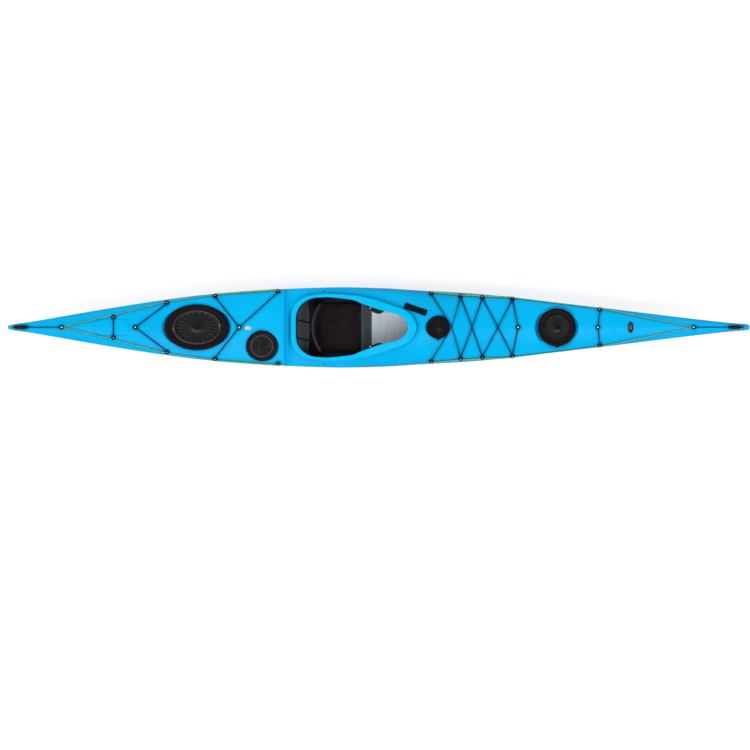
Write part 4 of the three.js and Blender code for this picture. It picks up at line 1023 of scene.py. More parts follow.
def deck_frame(x, y, heading=0.0):
    """A frame on the deck: its z is the deck's normal and its x points along a heading."""
    reach = 8 * MM
    slope_x = (deck_height(x + reach, y) - deck_height(x - reach, y)) / (2 * reach)
    slope_y = (deck_height(x, y + reach) - deck_height(x, y - reach)) / (2 * reach)
    up = Vector((-slope_x, -slope_y, 1)).normalized()
    along = Vector((math.cos(heading), math.sin(heading), 0))
    along = (along - up * along.dot(up)).normalized()
    across = up.cross(along)
    place = Matrix((along, across, up)).transposed().to_4x4()
    return Matrix.Translation((x, y, deck_height(x, y))) @ place


CONTROL_FRAME = deck_frame(*CONTROL_PLACE, math.radians(CONTROL_HEADING))


def rounded_box(length, width, radius, shift=0.0):
    a, b = length / 2, width / 2
    return rounded_outline([(shift - a, -b), (shift + a, -b), (shift + a, b), (shift - a, b)], radius)


# Marks moulded in the deck: the outline on the stern, rounded at its rear end, and the dimple on the bow
OUTLINE_X = (-1.998, -1.752)
OUTLINE_HALF = 0.056
OUTLINE_WIDE = OUTLINE_HALF * 1.05
OUTLINE_ROUND = 50 * MM
OUTLINE_STEPS = 160
OUTLINE_RISE = 0.2 * MM
OUTLINE_GROOVE = 1.5 * MM
DIMPLE_X = 1.47
DIMPLE_RADIUS = 0.05
DIMPLE_LENGTH_SHARE = 0.65
# [share of the radius, height in mm]
DIMPLE_ROWS = [[0, -1.8], [0.5, -1.4], [0.8, -0.6], [1, 0.4], [1, 30], [0, 30]]


def deck_outline():
    rear, front = OUTLINE_X
    corners = [(rear, -OUTLINE_HALF), (front, -OUTLINE_WIDE), (front, OUTLINE_WIDE), (rear, OUTLINE_HALF)]
    rounded = rounded_outline(corners, OUTLINE_ROUND, 10)
    plan = catmull([(*p, 0) for p in rounded], OUTLINE_STEPS, closed=True)
    points = [Vector((p.x, p.y, deck_height(p.x, p.y) + OUTLINE_RISE)) for p in plan]
    return swept("groove", points, OUTLINE_GROOVE, [BLUE], 10, closed=True)


def deck_dimple():
    rows = [[share * DIMPLE_RADIUS, height * MM] for share, height in DIMPLE_ROWS]
    place = deck_frame(DIMPLE_X, 0) @ Matrix.Diagonal((DIMPLE_LENGTH_SHARE, 1, 1, 1))
    return turned("dimple", rows, place, [BLUE], 64)


def make_deck():
    deck = shell("deck_shell", upper_ring)
    for hatch in HATCHES.values():
        set_hatch(deck, hatch)
    mouth = [(e + (r - e).normalized() * COAMING_WALL / 2).xy for e, r in zip(OPENING_LOOP, LIP_LOOP)]
    boolean(deck, [prism("mouth", mouth, 0, HEIGHT + OVERRUN, materials=[BLUE])], "DIFFERENCE")
    rings = [coaming_ring(edge, rim) for edge, rim in zip(OPENING_LOOP, LIP_LOOP)]
    boolean(deck, [lofted("coaming", rings, [LIT_LIP_BLUE], endless=True)], "UNION")
    boolean(deck, [deck_outline(), deck_dimple()], "DIFFERENCE")
    well = rounded_box(CONTROL_LENGTH + 2 * GAP, CONTROL_WIDTH + 2 * GAP, 12 * MM)
    well_cut = prism("well", well, -OVERRUN, OVERRUN, CONTROL_FRAME, [BLUE])
    boolean(deck, [well_cut] + loop_holes(), "DIFFERENCE")
    place_piece(sharpen(deck, 32), stands_for=["deck"])


make_hull()
make_deck()


# Hatches
RIM_LIFT = 0.3 * MM
RIM_EDGE = 1 * MM


def rim_rows(hatch):
    bore, flange = bore_of(hatch), seat_of(hatch) - RIM_CLEAR - hatch["rim_inset"]
    outside = bore + RIM_WALL
    bead = outside + RIM_BEAD
    return [
        [outside, RIM_LIFT], [flange, RIM_LIFT], [flange, RIM_FLANGE - RIM_EDGE],
        [flange - RIM_EDGE, RIM_FLANGE], [bead, RIM_FLANGE], [bead, RIM_RISE - RIM_EDGE],
        [bead - RIM_EDGE, RIM_RISE], [bore, RIM_RISE],
    ]


def make_rim(name, hatch):
    bore = bore_of(hatch)
    foot = [[bore, -RIM_DEPTH], [bore + RIM_WALL, -RIM_DEPTH]]
    rim = hatch_turned(name + "_ring", hatch, foot + rim_rows(hatch), [BLACK], True)
    place_piece(sharpen(rim, 30), stands_for=[name + "_rim"])


def make_tub(hatch):
    bore, top = bore_of(hatch), RIM_WALL - POD_DEPTH
    floor = [[0, -POD_DEPTH], [bore - 4 * MM, -POD_DEPTH], [bore + RIM_WALL, -POD_DEPTH + 8 * MM]]
    inside = [[bore, top + 6 * MM], [bore - 6 * MM, top], [0, top]]
    tub = hatch_turned("pod_liner", hatch, floor + rim_rows(hatch) + inside, [BLACK])
    place_piece(sharpen(tub, 30), stands_for=["pod_tub"])


COVER_SIDES = 144
RIB_RISE = 0.6 * MM
# [out from the ring's crest, down from the cover's top], in mm
RING_ROWS = [[9, 2.6], [5, 2.4], [2.5, 0.4], [0, 0], [-2.5, 0.4], [-5, 3]]
ARM_STEPS = 12
ARM_SWEEP = 0.045
COVER_LOOKS = {
    "bow_hatch": dict(spread=-4 * MM, ring=0.68, ribs=18, hub=0.2, shiny=False),
    "stern_hatch": dict(spread=2 * MM, ring=0.72, ribs=22, hub=0.17, shiny=True),
    "day_hatch": dict(spread=1.5 * MM, ring=0.7, ribs=0, hub=0.24, shiny=True),
    "pod_hatch": dict(spread=4.5 * MM, ring=0.68, ribs=0, hub=0.26, shiny=False),
}


def cover_rows(hatch, r, hub, crest):
    """The cover's section: underside, rounded edge, ring, fanned field and hub."""
    top = COVER_TOP
    skirt = bore_of(hatch) + RIM_WALL + RIM_BEAD + 2 * GAP
    under = [[0, RIM_RISE + GAP], [skirt, RIM_RISE + GAP], [skirt, RIM_FLANGE + GAP]]
    edge = [[r - 1 * MM, RIM_FLANGE + GAP], [r, RIM_FLANGE + 1.3 * MM], [r, 9 * MM], [r - 1.5 * MM, 11 * MM],
            [r - 5 * MM, 13.4 * MM], [r - 10 * MM, top - 0.6 * MM], [r - 14 * MM, top - 0.8 * MM]]
    ring = [[crest + out * MM, top - down * MM] for out, down in RING_ROWS]
    fan = [[crest + (hub - crest) * (0.25 + 0.15 * i), top - 3 * MM] for i in range(5)]
    middle = [[hub, top - 1.6 * MM], [hub * 0.9, top - 0.6 * MM], [hub * 0.5, top - 0.1 * MM], [0, top]]
    return under + edge + ring + fan + middle


def make_cover(name, hatch):
    looks = COVER_LOOKS[name]
    r = hatch["radius"] + looks["spread"]
    crest, hub = looks["ring"] * r, looks["hub"] * r
    rows = cover_rows(hatch, r, hub, crest)
    cover = hatch_turned(name + "_lid", hatch, rows, [RUBBER, RIBBED, RING_RUBBER], sides=COVER_SIDES)
    place = hatch_place(hatch)
    back = place.inverted()
    for vert in cover.data.vertices:
        local = back @ vert.co
        across = local.x / hatch["length_share"]
        radius = math.hypot(across, local.y)
        if looks["ribs"] and hub * 1.02 < radius < crest - 4 * MM and local.z > RIM_RISE + 1 * MM:
            wave = math.cos(looks["ribs"] * math.atan2(local.y, across))
            local.z += RIB_RISE * max(wave, -0.2)
            vert.co = place @ local
    for face in cover.data.polygons:
        local = back @ face.center
        radius = math.hypot(local.x / hatch["length_share"], local.y)
        face.material_index = int(bool(looks["ribs"]) and hub < radius < crest - 3 * MM)
        if abs(radius - crest) < 4 * MM and looks["shiny"] or abs(radius - hub * 0.9) < 3 * MM:
            face.material_index = 2
    made = joined(name + "_lid", [cover] + cover_trim(name, place, r, hub, crest))
    place_piece(sharpen(made, 40), name + "_cover", [name + "_cover"])


def cover_arm(place, hub, crest, turn):
    points = []
    for k in range(ARM_STEPS + 1):
        reach, angle = hub * 0.7 + (crest - hub) * k / ARM_STEPS, turn + k * ARM_SWEEP
        spot = Vector((reach * math.cos(angle), reach * math.sin(angle), COVER_TOP - 2.4 * MM))
        points.append(place @ spot)
    return swept("arm", points, 3 * MM, [RING_RUBBER], 10)


def cover_trim(name, place, r, hub, crest):
    """A pull tab on the starboard edge, a ridge across the small cover or arms on the day hatch's."""
    trim = []
    if name in ("bow_hatch", "pod_hatch"):
        reach = -r + 2 * MM
        tab = [(-11 * MM, reach), (-8 * MM, reach - 12 * MM), (8 * MM, reach - 12 * MM), (11 * MM, reach)]
        outline = rounded_outline(tab, 5 * MM)
        trim.append(bevelled(prism("tab", outline, 6 * MM, 9.6 * MM, place, [RUBBER]), 1 * MM, 2))
    if name == "pod_hatch":
        ridge = [place @ Vector((2 * MM, crest * (i / 8 - 1), COVER_TOP - 2 * MM)) for i in range(17)]
        trim.append(swept("ridge", ridge, 2.2 * MM, [RING_RUBBER], 10))
    if name == "day_hatch":
        trim += [cover_arm(place, hub, crest, math.radians(turn)) for turn in (100, 220, 340)]
    return trim


for hatch_name, hatch_values in HATCHES.items():
    if hatch_name == "pod_hatch":
        make_tub(hatch_values)
    else:
        make_rim(hatch_name, hatch_values)
    make_cover(hatch_name, hatch_values)


# Deck fittings: [letter, share of LENGTH from the stern, share of half the beam]
FITTING_SHARES = [
    ["a", 0.1417, 0.247], ["b", 0.2137, 0.604], ["c", 0.2788, 0.775], ["d", 0.3644, 0.887],
    ["e", 0.571, 0.827], ["f", 0.6108, 0.76], ["g", 0.6404, 0.73], ["h", 0.681, 0.7],
    ["i", 0.7992, 0.433],
]
RING_SHARES = dict(stern=0.0721, paddle=0.171, aft=0.3117, fore=0.6885, cross=0.7964, bow=0.9252)
FITTING_RADIUS = 15.5 * MM
FITTING_HEIGHT = 14.5 * MM
CAP_FLOOR = 10.5 * MM
BOLT_RADIUS = 4.2 * MM
RING_BOLT_RADIUS = 6.4 * MM
BOLT_RISE = 1.5 * MM
CORD_RADIUS = 2.7 * MM
CORD_RISE = 5.2 * MM
CORD_CLEAR = 2 * MM
CORD_POINT_GAP = 22 * MM
KNOT_RADIUS = 9 * MM
KNOT_CORD = 2.6 * MM
KNOT_FOOT = 2.6 * MM
KNOT_RISE = 3.4 * MM
KNOT_TURNS = 2
KNOT_STEPS = 40
LINE_OUT = 8 * MM
LINE_EDGE = 14 * MM
BUNGEE_IN = 7.5 * MM
CROSSING_RISE = 7.5 * MM
CROSSING_REACH = 80 * MM
BUNGEE_LIFT = 5 * MM
RIDGE_X = 0.513
RIDGE_RISE = 20 * MM
SIDES = (("port", 1), ("starboard", -1))

FITTINGS = {}
for letter, station, out_share in FITTING_SHARES:
    for side_name, side in SIDES:
        spot = ((station - 0.5) * LENGTH, side * out_share * HALF_BEAM)
        FITTINGS[letter + "_" + side_name] = (deck_frame(*spot), side)
RINGS = {ring: (deck_frame((station - 0.5) * LENGTH, 0), 0) for ring, station in RING_SHARES.items()}


def fitting_parts(place, floor, bolt_radius=BOLT_RADIUS):
    """A rounded cap with a dished middle, a bolt in it and a low foot under the cords."""
    r, top = FITTING_RADIUS, FITTING_HEIGHT
    cap = [[0, floor], [r - 2 * MM, floor], [r - 0.5 * MM, floor + 0.6 * MM], [r, floor + 1.6 * MM],
           [r - 0.6 * MM, top - 1.2 * MM], [r - 2.4 * MM, top - 0.2 * MM], [r - 5 * MM, top],
           [r - 7 * MM, top - 0.8 * MM], [bolt_radius + 0.8 * MM, top - 2.6 * MM], [0, top - 2.6 * MM]]
    foot = [[0, -2 * MM], [r - 4 * MM, -2 * MM], [r - 4 * MM, 0.4 * MM],
            [r - 6 * MM, 1.6 * MM], [0, 1.6 * MM]]
    bolt = [[0, top - 3 * MM], [bolt_radius, top - 3 * MM], [bolt_radius, top - 0.2 * MM],
            [bolt_radius - 1 * MM, top + 1 * MM], [2.6 * MM, top + BOLT_RISE], [2.3 * MM, top - 0.6 * MM],
            [0, top - 0.8 * MM]]
    return [turned("cap", cap, place, [BLACK], 40), turned("foot", foot, place, [BLACK], 28),
            turned("bolt", bolt, place, [STEEL], 24)]


def make_fitting(name):
    place = FITTINGS[name][0]
    post = rounded_box(10 * MM, 3.2 * MM, 1.4 * MM)
    stem = prism("post", post, -2 * MM, CAP_FLOOR + 0.5 * MM, place, [BLACK])
    made = joined("fitting_" + name, fitting_parts(place, CAP_FLOOR) + [stem])
    place_piece(sharpen(made, 38), stands_for=["deck_fitting_" + name])


for fitting_name in FITTINGS:
    make_fitting(fitting_name)


# Cords held by the fittings
def anchor(place, out):
    frame_matrix, side = place
    return frame_matrix @ Vector((0, side * out, CORD_RISE))


def above_deck(x, y, rise):
    return deck_frame(x, y) @ Vector((0, 0, rise))


def stretch(start, end, rise=lambda share, distance: 0):
    """Points of a cord over the deck between two points, raised where rise says so."""
    distance = (end - start).length
    steps = max(round(distance / CORD_POINT_GAP), 2)
    points = [start]
    for i in range(1, steps):
        spot = start.lerp(end, i / steps)
        points.append(above_deck(spot.x, spot.y, CORD_RADIUS + CORD_CLEAR + rise(i / steps, distance)))
    return points + [end]


def long_line(places):
    points = []
    for here, there in zip(places, places[1:]):
        points += stretch(here, there)[:-1]
    return points + [places[-1]]


def cord_piece(name, points, material, radius=CORD_RADIUS):
    return swept(name, catmull(points, 3 * len(points)), radius, [material], 12)


def line_side(ring, letters, back, name):
    """A line from a middle fitting along one side's fittings and back along some of them."""
    spots = [anchor(FITTINGS[f"{letter}_{name}"], out) for letter, out in letters]
    doubled = [anchor(FITTINGS[f"{letter}_{name}"], LINE_EDGE) for letter in back]
    turn_back = (spots[-1] + doubled[0]) / 2 + (spots[-1] - spots[-2]).normalized() * 7 * MM
    way_out = long_line([anchor(RINGS[ring], 0), *spots])
    return cord_piece("line", way_out + [turn_back] + long_line(doubled), DECK_LINE)


def bungee_end(letter, name):
    return anchor(FITTINGS[f"{letter}_{name}"], -BUNGEE_IN)


def to_ring(ring, letter, name):
    start, end = anchor(RINGS[ring], 0), bungee_end(letter, name)
    return cord_piece("leg", stretch(start, end, lambda share, distance: BUNGEE_LIFT / 2), SHOCK_CORD)


def both_to_ring(ring, letter):
    return [to_ring(ring, letter, name) for name, _ in SIDES]


BOTH_WAYS = (("port", "starboard", 0), ("starboard", "port", CROSSING_RISE))


def crossing_leg(start, end, hump):
    """One bungee of a crossing, lifted over the other in the middle."""
    def rise(share, distance):
        bell = math.exp(-((share - 0.5) * distance / CROSSING_REACH) ** 2)
        return BUNGEE_LIFT * math.sin(math.pi * share) + hump * bell

    return stretch(start, end, rise)


def ridge_leg(start, end, hump):
    """One bungee of the crossing that lies over the small hatch's cover."""
    height = RIDGE_RISE + hump
    top = above_deck(RIDGE_X, 0, height)
    up = stretch(start, top, lambda share, distance: height * share)
    return up[:-1] + stretch(top, end, lambda share, distance: height * (1 - share))


def crossing(rear, front, leg=crossing_leg):
    return [cord_piece("leg", leg(bungee_end(rear, start), bungee_end(front, end), hump), SHOCK_CORD)
            for start, end, hump in BOTH_WAYS]


def ring_parts(ring):
    """The middle fitting that a cord is tied to."""
    place = RINGS[ring][0]
    return fitting_parts(place, CORD_RISE + CORD_RADIUS, RING_BOLT_RADIUS)


def knot(place, material):
    """Two turns of cord round a middle fitting."""
    points = []
    for i in range(KNOT_STEPS):
        share = i / (KNOT_STEPS - 1)
        turn = 2 * KNOT_TURNS * math.pi * share
        out, along = KNOT_RADIUS * math.cos(turn), KNOT_RADIUS * math.sin(turn)
        points.append(place @ Vector((out, along, KNOT_FOOT + KNOT_RISE * share)))
    return swept("knot", points, KNOT_CORD, [material], 8)


def make_cord(name, parts, ring=None, material=SHOCK_CORD):
    if ring:
        parts = parts + ring_parts(ring) + [knot(RINGS[ring][0], material)]
    place_piece(sharpen(joined(name + "_rope", parts), 45), stands_for=[name])


def make_lines():
    stern_way = [("a", LINE_EDGE)] + [(letter, LINE_OUT) for letter in "bcd"]
    bow_way = [(letter, LINE_OUT) for letter in "ihgfe"]
    stern = [line_side("stern", stern_way, "dc", name) for name, _ in SIDES]
    bow = [line_side("bow", bow_way, "efgh", name) for name, _ in SIDES]
    make_cord("stern_deck_line", stern, "stern", DECK_LINE)
    make_cord("bow_deck_line", bow, "bow", DECK_LINE)


def make_bungees():
    legs = crossing("e", "f", ridge_leg) + crossing("f", "g") + crossing("g", "h")
    make_cord("bow_bungee", legs + both_to_ring("fore", "h"), "fore")
    make_cord("bow_cross_bungee", both_to_ring("cross", "i"), "cross")
    make_cord("paddle_bungee", both_to_ring("paddle", "b"), "paddle")
    make_cord("aft_bungee", both_to_ring("aft", "c") + [to_ring("aft", "d", "port")], "aft")
    across = cord_piece("leg", stretch(bungee_end("a", "port"), bungee_end("a", "starboard")), SHOCK_CORD)
    make_cord("stern_bungee", [across])


make_lines()
make_bungees()


# Toggles
GRIP_STEPS = 24
GRIP_SIDES = 28
GRIP_GROOVES = 7
LUG_BORE = 5.2 * MM
TAIL_RADIUS = 2.2 * MM
TAIL_GAP = 1 * MM
TAIL_REACH = 30 * MM


def toggle_rings(near, far):
    """Rings of a barrel with shallow grooves and rounded ends."""
    rings = []
    for i in range(GRIP_STEPS + 1):
        share = i / GRIP_STEPS
        swell = 0.78 + 0.22 * math.sin(math.pi * min(share * 1.15, 1))
        barrel = swell + 0.05 * math.cos(2 * GRIP_GROOVES * math.pi * share)
        end_round = math.sqrt(max(1 - (2 * share - 1) ** 10, 0.02))
        centre = near.lerp(far, share)
        r = TOGGLE_RADIUS * min(barrel, 1) * end_round
        rings.append([centre + Vector((0, r * out, r * up)) for out, up in circle(GRIP_SIDES)])
    return rings


def make_toggle(end, x, inboard):
    eye = loop_centre(x) + Vector((0, 0, LOOP_RADIUS))
    near = Vector((x + inboard * TOGGLE_EYE, 0, eye.z))
    far_x = x + inboard * TOGGLE_LENGTH
    far = Vector((far_x, 0, deck_height(far_x, 0) + TOGGLE_RADIUS + TOGGLE_CLEAR))
    grip = lofted(end + "_grip", toggle_rings(near, far), [BLACK])
    lug_place = Matrix.Translation(eye) @ Matrix.Rotation(math.pi / 2, 4, "X")
    lug = turned("lug", in_mm([0, -7], [9, -7], [11, -5], [11, 5], [9, 7], [0, 7]), lug_place, [BLACK], 32)
    boolean(grip, [lug], "UNION")
    boolean(grip, [round_hole(LUG_BORE, lug_place, [BLACK])], "DIFFERENCE")
    place_piece(sharpen(grip, 40), end + "_toggle", [end + "_toggle"])
    loop = rope_loop(end + "_loop", x, LOOP_CORD, [DECK_LINE])
    place_piece(loop, stands_for=[end + "_toggle_loop"])
    start = Vector((x + inboard * (TOGGLE_LENGTH + TAIL_GAP), 0, far.z))
    spot = above_deck(x + inboard * (TOGGLE_LENGTH + TAIL_REACH), 0, CORD_RISE)
    ring = RINGS[end][0] @ Vector((-inboard * FITTING_RADIUS * 0.9, 0, CORD_RISE))
    points = [start, start.lerp(spot, 0.5)] + stretch(spot, ring)
    tail = cord_piece(end + "_tail", points, BLACK_CORD, TAIL_RADIUS)
    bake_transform(tail)


make_toggle("stern", STERN_LOOP_X, 1)
make_toggle("bow", BOW_LOOP_X, -1)


# Seat and its pads
SEAT_REAR = -0.455
SEAT_FRONT = -0.122
SEAT_HALF = HALF_BEAM - 0.055
SEAT_TOP = HEIGHT * 0.459
SEAT_WALL = 5 * MM
SEAT_POWER = 2.6
TROUGH_STEPS = 26
PAD_REAR = -0.44
PAD_FRONT = -0.13
PAD_HALF = SEAT_HALF - 0.051
PAD_RISE = 72 * MM
PAD_CROWN = 12 * MM


def trough_side(inset):
    side = []
    for i in range(TROUGH_STEPS + 1):
        turn = math.pi / 2 * i / TROUGH_STEPS
        out = max(math.cos(turn), 0) ** (2 / SEAT_POWER)
        down = max(math.sin(turn), 0) ** (2 / SEAT_POWER)
        side.append([(SEAT_HALF - inset) * out, SEAT_TOP - (SEAT_TOP - SKIN - GAP - inset) * down])
    return side


def trough_body(name, inset, rear, front, top):
    side = [[SEAT_HALF - inset, top]] + trough_side(inset)
    return lofted(name, [both_sides(x, side, True) for x in (rear, front)], [BLACK])


def trough_height(y):
    """Height of the seat pan's inner face."""
    out = min(abs(y) / (SEAT_HALF - SEAT_WALL), 1)
    return SEAT_TOP - (SEAT_TOP - SKIN - GAP - SEAT_WALL) * (1 - out ** SEAT_POWER) ** (1 / SEAT_POWER)


def cavity():
    shares = station_list(*HOLLOW_ENDS_SHARE, 120)
    return lofted("cavity", [whole_ring(section(share, SKIN + GAP)) for share in shares], [BLACK])


def make_seat():
    pan = trough_body("seat_shell", 0, SEAT_REAR, SEAT_FRONT, SEAT_TOP + 1 * MM)
    boolean(pan, [trough_body("in", SEAT_WALL, SEAT_REAR - 0.05, SEAT_FRONT + 0.05, HEIGHT)], "DIFFERENCE")
    boolean(pan, [cavity()], "INTERSECT")
    place_piece(bevelled(pan, 1.6 * MM, 3), stands_for=["seat_pan"])


make_seat()


# The rear panel of the cockpit: a leaning sheet with two ribs
PANEL_TOP_X = -0.578
PANEL_FOOT_X = -0.492
PANEL_THICKNESS = 6 * MM
PANEL_RIBS = (0.055, -0.07)
PANEL_FOOT_DEPTH = 0.05
RIB_PIVOT = 0.3
RIB_LEAN = 4
RIB_HALF = 4.5 * MM
RIB_PROUD = 3 * MM


def panel_place():
    """A frame on the panel: x along the slope upwards, y to port and z out of its back."""
    rise = HEIGHT * value_at(RIDGE_SHARES, PANEL_TOP_X / LENGTH + 0.5)
    up = Vector((PANEL_TOP_X - PANEL_FOOT_X, 0, rise)).normalized()
    out = up.cross(Vector((0, 1, 0)))
    return Matrix.Translation((PANEL_FOOT_X, 0, 0)) @ Matrix((up, (0, 1, 0), out)).transposed().to_4x4()


def coaming_keepout():
    rings = []
    for edge, rim in zip(OPENING_LOOP[::2], LIP_LOOP[::2]):
        out = (rim - edge).normalized()
        floor = deck_height(edge.x, edge.y) - SKIN - COAMING_WALL
        rings.append([(*(edge + out * reach).xy, z) for reach, z in
                      ((-GAP, floor), (-GAP, HEIGHT), (0.04, HEIGHT), (0.04, floor))])
    return lofted("keepout", rings, [BLACK], endless=True)


def make_panel():
    place, low, front = panel_place(), -PANEL_FOOT_DEPTH, -PANEL_THICKNESS
    sheet = cutter_box(low, HEIGHT, -BEAM, BEAM, front, 0, place, [LIT_PANEL_SLATE])
    turn = Matrix.Rotation(math.radians(RIB_LEAN), 4, "Z") @ Matrix.Translation((-RIB_PIVOT, 0, 0))
    ribs = []
    for y in PANEL_RIBS:
        rib_place = place @ Matrix.Translation((RIB_PIVOT, y, 0)) @ turn
        ribs.append(cutter_box(low, HEIGHT, -RIB_HALF, RIB_HALF, front - RIB_PROUD, front + 1 * MM,
                               rib_place, [WEBBING]))
    boolean(sheet, ribs, "UNION")
    boolean(sheet, [cavity()], "INTERSECT")
    boolean(sheet, [coaming_keepout()], "DIFFERENCE")
    sheet.name = "rear_panel"
    place_piece(sharpen(sheet, 30), stands_for=["cockpit_bulkhead"])


make_panel()


# Seat cushion and hip pads
INFLATE_FRAMES = 20
PAD_EDGE = 4 * MM
CHANNEL_X = -0.235
CHANNEL_FADE = 0.08
CHANNEL_DEPTH = 4 * MM
SEAM_DEPTH = 2.4 * MM
SEAM_WIDTH = 5 * MM
SEAM_Y = (-0.085, 0.085)
HIP_REAR = -0.408
HIP_LENGTH = 0.211
HIP_LEVEL = 0.122
HIP_DOWN = 0.040
HIP_UP = 0.042
HIP_THICK = 31 * MM
HIP_SIDES = 28


def inflated(obj, voxel, pressure, cap):
    """Fills a closed pad with air for a moment and keeps the shape, with no point moved over the cap."""
    remesh = obj.modifiers.new("remesh", "REMESH")
    remesh.mode = "VOXEL"
    remesh.voxel_size = voxel
    apply_modifiers(obj)
    rest = [v.co.copy() for v in obj.data.vertices]
    cloth = obj.modifiers.new("cloth", "CLOTH")
    cloth.settings.use_pressure = True
    cloth.settings.uniform_pressure_force = pressure
    cloth.settings.effector_weights.gravity = 0
    for step in range(1, INFLATE_FRAMES + 1):
        bpy.context.scene.frame_set(step)
    apply_modifiers(obj)
    bpy.context.scene.frame_set(1)
    for vert, start in zip(obj.data.vertices, rest):
        move = vert.co - start
        if move.length > cap:
            vert.co = start + move * (cap / move.length)
    return obj


def subdivided(obj):
    modifier = obj.modifiers.new("subdivision", "SUBSURF")
    modifier.levels = modifier.render_levels = 1
    return apply_modifiers(obj)


def pad_ring(share):
    fade = 2 * abs(share - 0.5)
    bulge = 1 - 0.65 * fade ** 6
    half = (PAD_HALF - PAD_EDGE) * (1 - 0.07 * (1 - bulge))
    x = PAD_REAR + PAD_EDGE + (PAD_FRONT - PAD_REAR - 2 * PAD_EDGE) * share
    outs = [1 - i / 12 for i in range(25)]
    top = [(x, out * half, PAD_RISE - 3 * MM - PAD_CROWN * (2 - bulge) + PAD_CROWN * (1 - out ** 2) * bulge)
           for out in outs]
    bottom = [(x, out * half, min(trough_height(out * half) + 3 * MM, PAD_RISE - PAD_CROWN - 10 * MM))
              for out in reversed(outs)]
    return top + bottom


def make_seat_pad():
    """A filled cushion with a channel ahead along its middle and a seam on each side."""
    pad = lofted("seat_cushion", [pad_ring(i / 24) for i in range(25)], [SEAT_CLOTH])
    inflated(pad, voxel=5 * MM, pressure=4, cap=6 * MM)
    for vert in pad.data.vertices:
        ahead = smooth_step((vert.co.x - CHANNEL_X) / CHANNEL_FADE)
        if vert.co.z > PAD_RISE - 3 * PAD_CROWN:
            vert.co.z -= CHANNEL_DEPTH * ahead * math.exp(-(vert.co.y / SEAM_WIDTH) ** 2)
            for line in SEAM_Y:
                vert.co.z -= SEAM_DEPTH * math.exp(-((vert.co.y - line) / SEAM_WIDTH) ** 2)
        vert.co.z = max(vert.co.z, trough_height(vert.co.y) + 0.5 * MM)
    place_piece(subdivided(pad), stands_for=["seat_pad"])
    pad.data.shade_smooth()


def eased_power(value, power):
    return math.copysign(abs(value) ** power, value)


def hip_ring(share, side):
    swell = math.sin(math.pi * min(max(share, 0.02), 0.98)) ** 0.35
    low, high = HIP_LEVEL - HIP_DOWN * swell, HIP_LEVEL + HIP_UP * swell
    ring = []
    for out, up in circle(HIP_SIDES):
        z = (low + high) / 2 + (high - low) / 2 * eased_power(up, 0.7)
        thick = HIP_THICK * swell * (0.8 + 0.2 * (z - 0.08) / 0.08)
        y = seat_wall_at(z) - 1.2 * MM - thick * (0.5 - 0.5 * eased_power(out, 0.6))
        ring.append((HIP_REAR + HIP_LENGTH * share, side * y, z))
    return ring


def make_hip_pad(name, side):
    """A rounded pad against the side of the seat, thinner at both ends."""
    pad = lofted("hip_cushion_" + name, [hip_ring(i / 20, side) for i in range(21)], [FOAM])
    place_piece(subdivided(pad), stands_for=["hip_pad_" + name])
    pad.data.shade_smooth()


def seat_wall_at(z):
    """Half the width between the seat's walls at a height."""
    down = min(max((SEAT_TOP - z) / (SEAT_TOP - SKIN - GAP - SEAT_WALL), 0), 1)
    return (SEAT_HALF - SEAT_WALL) * (1 - down ** SEAT_POWER) ** (1 / SEAT_POWER)


make_seat_pad()
for side_name, side in SIDES:
    make_hip_pad(side_name, side)


# Painted shade: a dark sheet between the seat and the bare floor
SHADE_APRON = (-0.1215, -0.047)
APRON_RISE = 26 * MM
APRON_ROWS = 11
APRON_POINTS = 50


def side_to_side(x, side):
    """An open row of points from the port end of a side, across the keel, to its starboard mirror image."""
    return [(x, y, z) for y, z in reversed(side)] + [(x, -y, z) for y, z in side]


def make_shade_apron():
    """A slate-coloured sheet that slopes from the front of the seat down to the floor, painting the shade in
    front of the seat.
    """
    tops, unders = [], []
    for i in range(APRON_ROWS):
        share = i / (APRON_ROWS - 1)
        cut = section((SHADE_APRON[0] + (SHADE_APRON[1] - SHADE_APRON[0]) * share) / LENGTH + 0.5, SKIN + 1 * MM)
        rise = (1 - smooth_step(share)) * APRON_RISE
        side = hull_side(cut, 60)[:APRON_POINTS]
        tops.append(side_to_side(cut["x"], [(y * (1 - rise * 0.4), z + rise) for y, z in side]))
        unders.append(side_to_side(cut["x"], [(y, z - 0.6 * MM) for y, z in side]))
    rows = tops + unders[::-1]
    rings = [[row[j] for row in rows] for j in range(2 * APRON_POINTS)]
    apron = lofted("seat_shade_apron", rings, [SLATE])
    place_piece(sharpen(apron, 40))


make_shade_apron()


# Backband and its strap
BAND_CENTRE_X = -0.47
BAND_HALF = SEAT_HALF - 0.06
BAND_SWEEP = 0.058
BAND_THICKNESS = 18 * MM
BAND_FOOT = 0.108
BAND_TOP = 0.296
BAND_SHOULDER = 0.21
BAND_STEPS = (48, 22)
STRAP_THICKNESS = 2.5 * MM
STRAP_FOOT = 0.184
STRAP_HEIGHT = 30 * MM
STRAP_END = (-0.268, 0.206)
STRAP_POINTS = 90
STRAP_ROWS = 6
QUILT_LINES = (0.36, 0.7)
QUILT_WIDTH = 0.035
QUILT_DEPTH = 0.25
PLUMP_REACH = 22 * MM


def band_x(y):
    return BAND_CENTRE_X + BAND_SWEEP * (y / BAND_HALF) ** 2


def band_top(y):
    out = min(abs(y) / BAND_HALF, 1)
    return BAND_SHOULDER + (BAND_TOP - BAND_SHOULDER) * math.sqrt(1 - out * out)


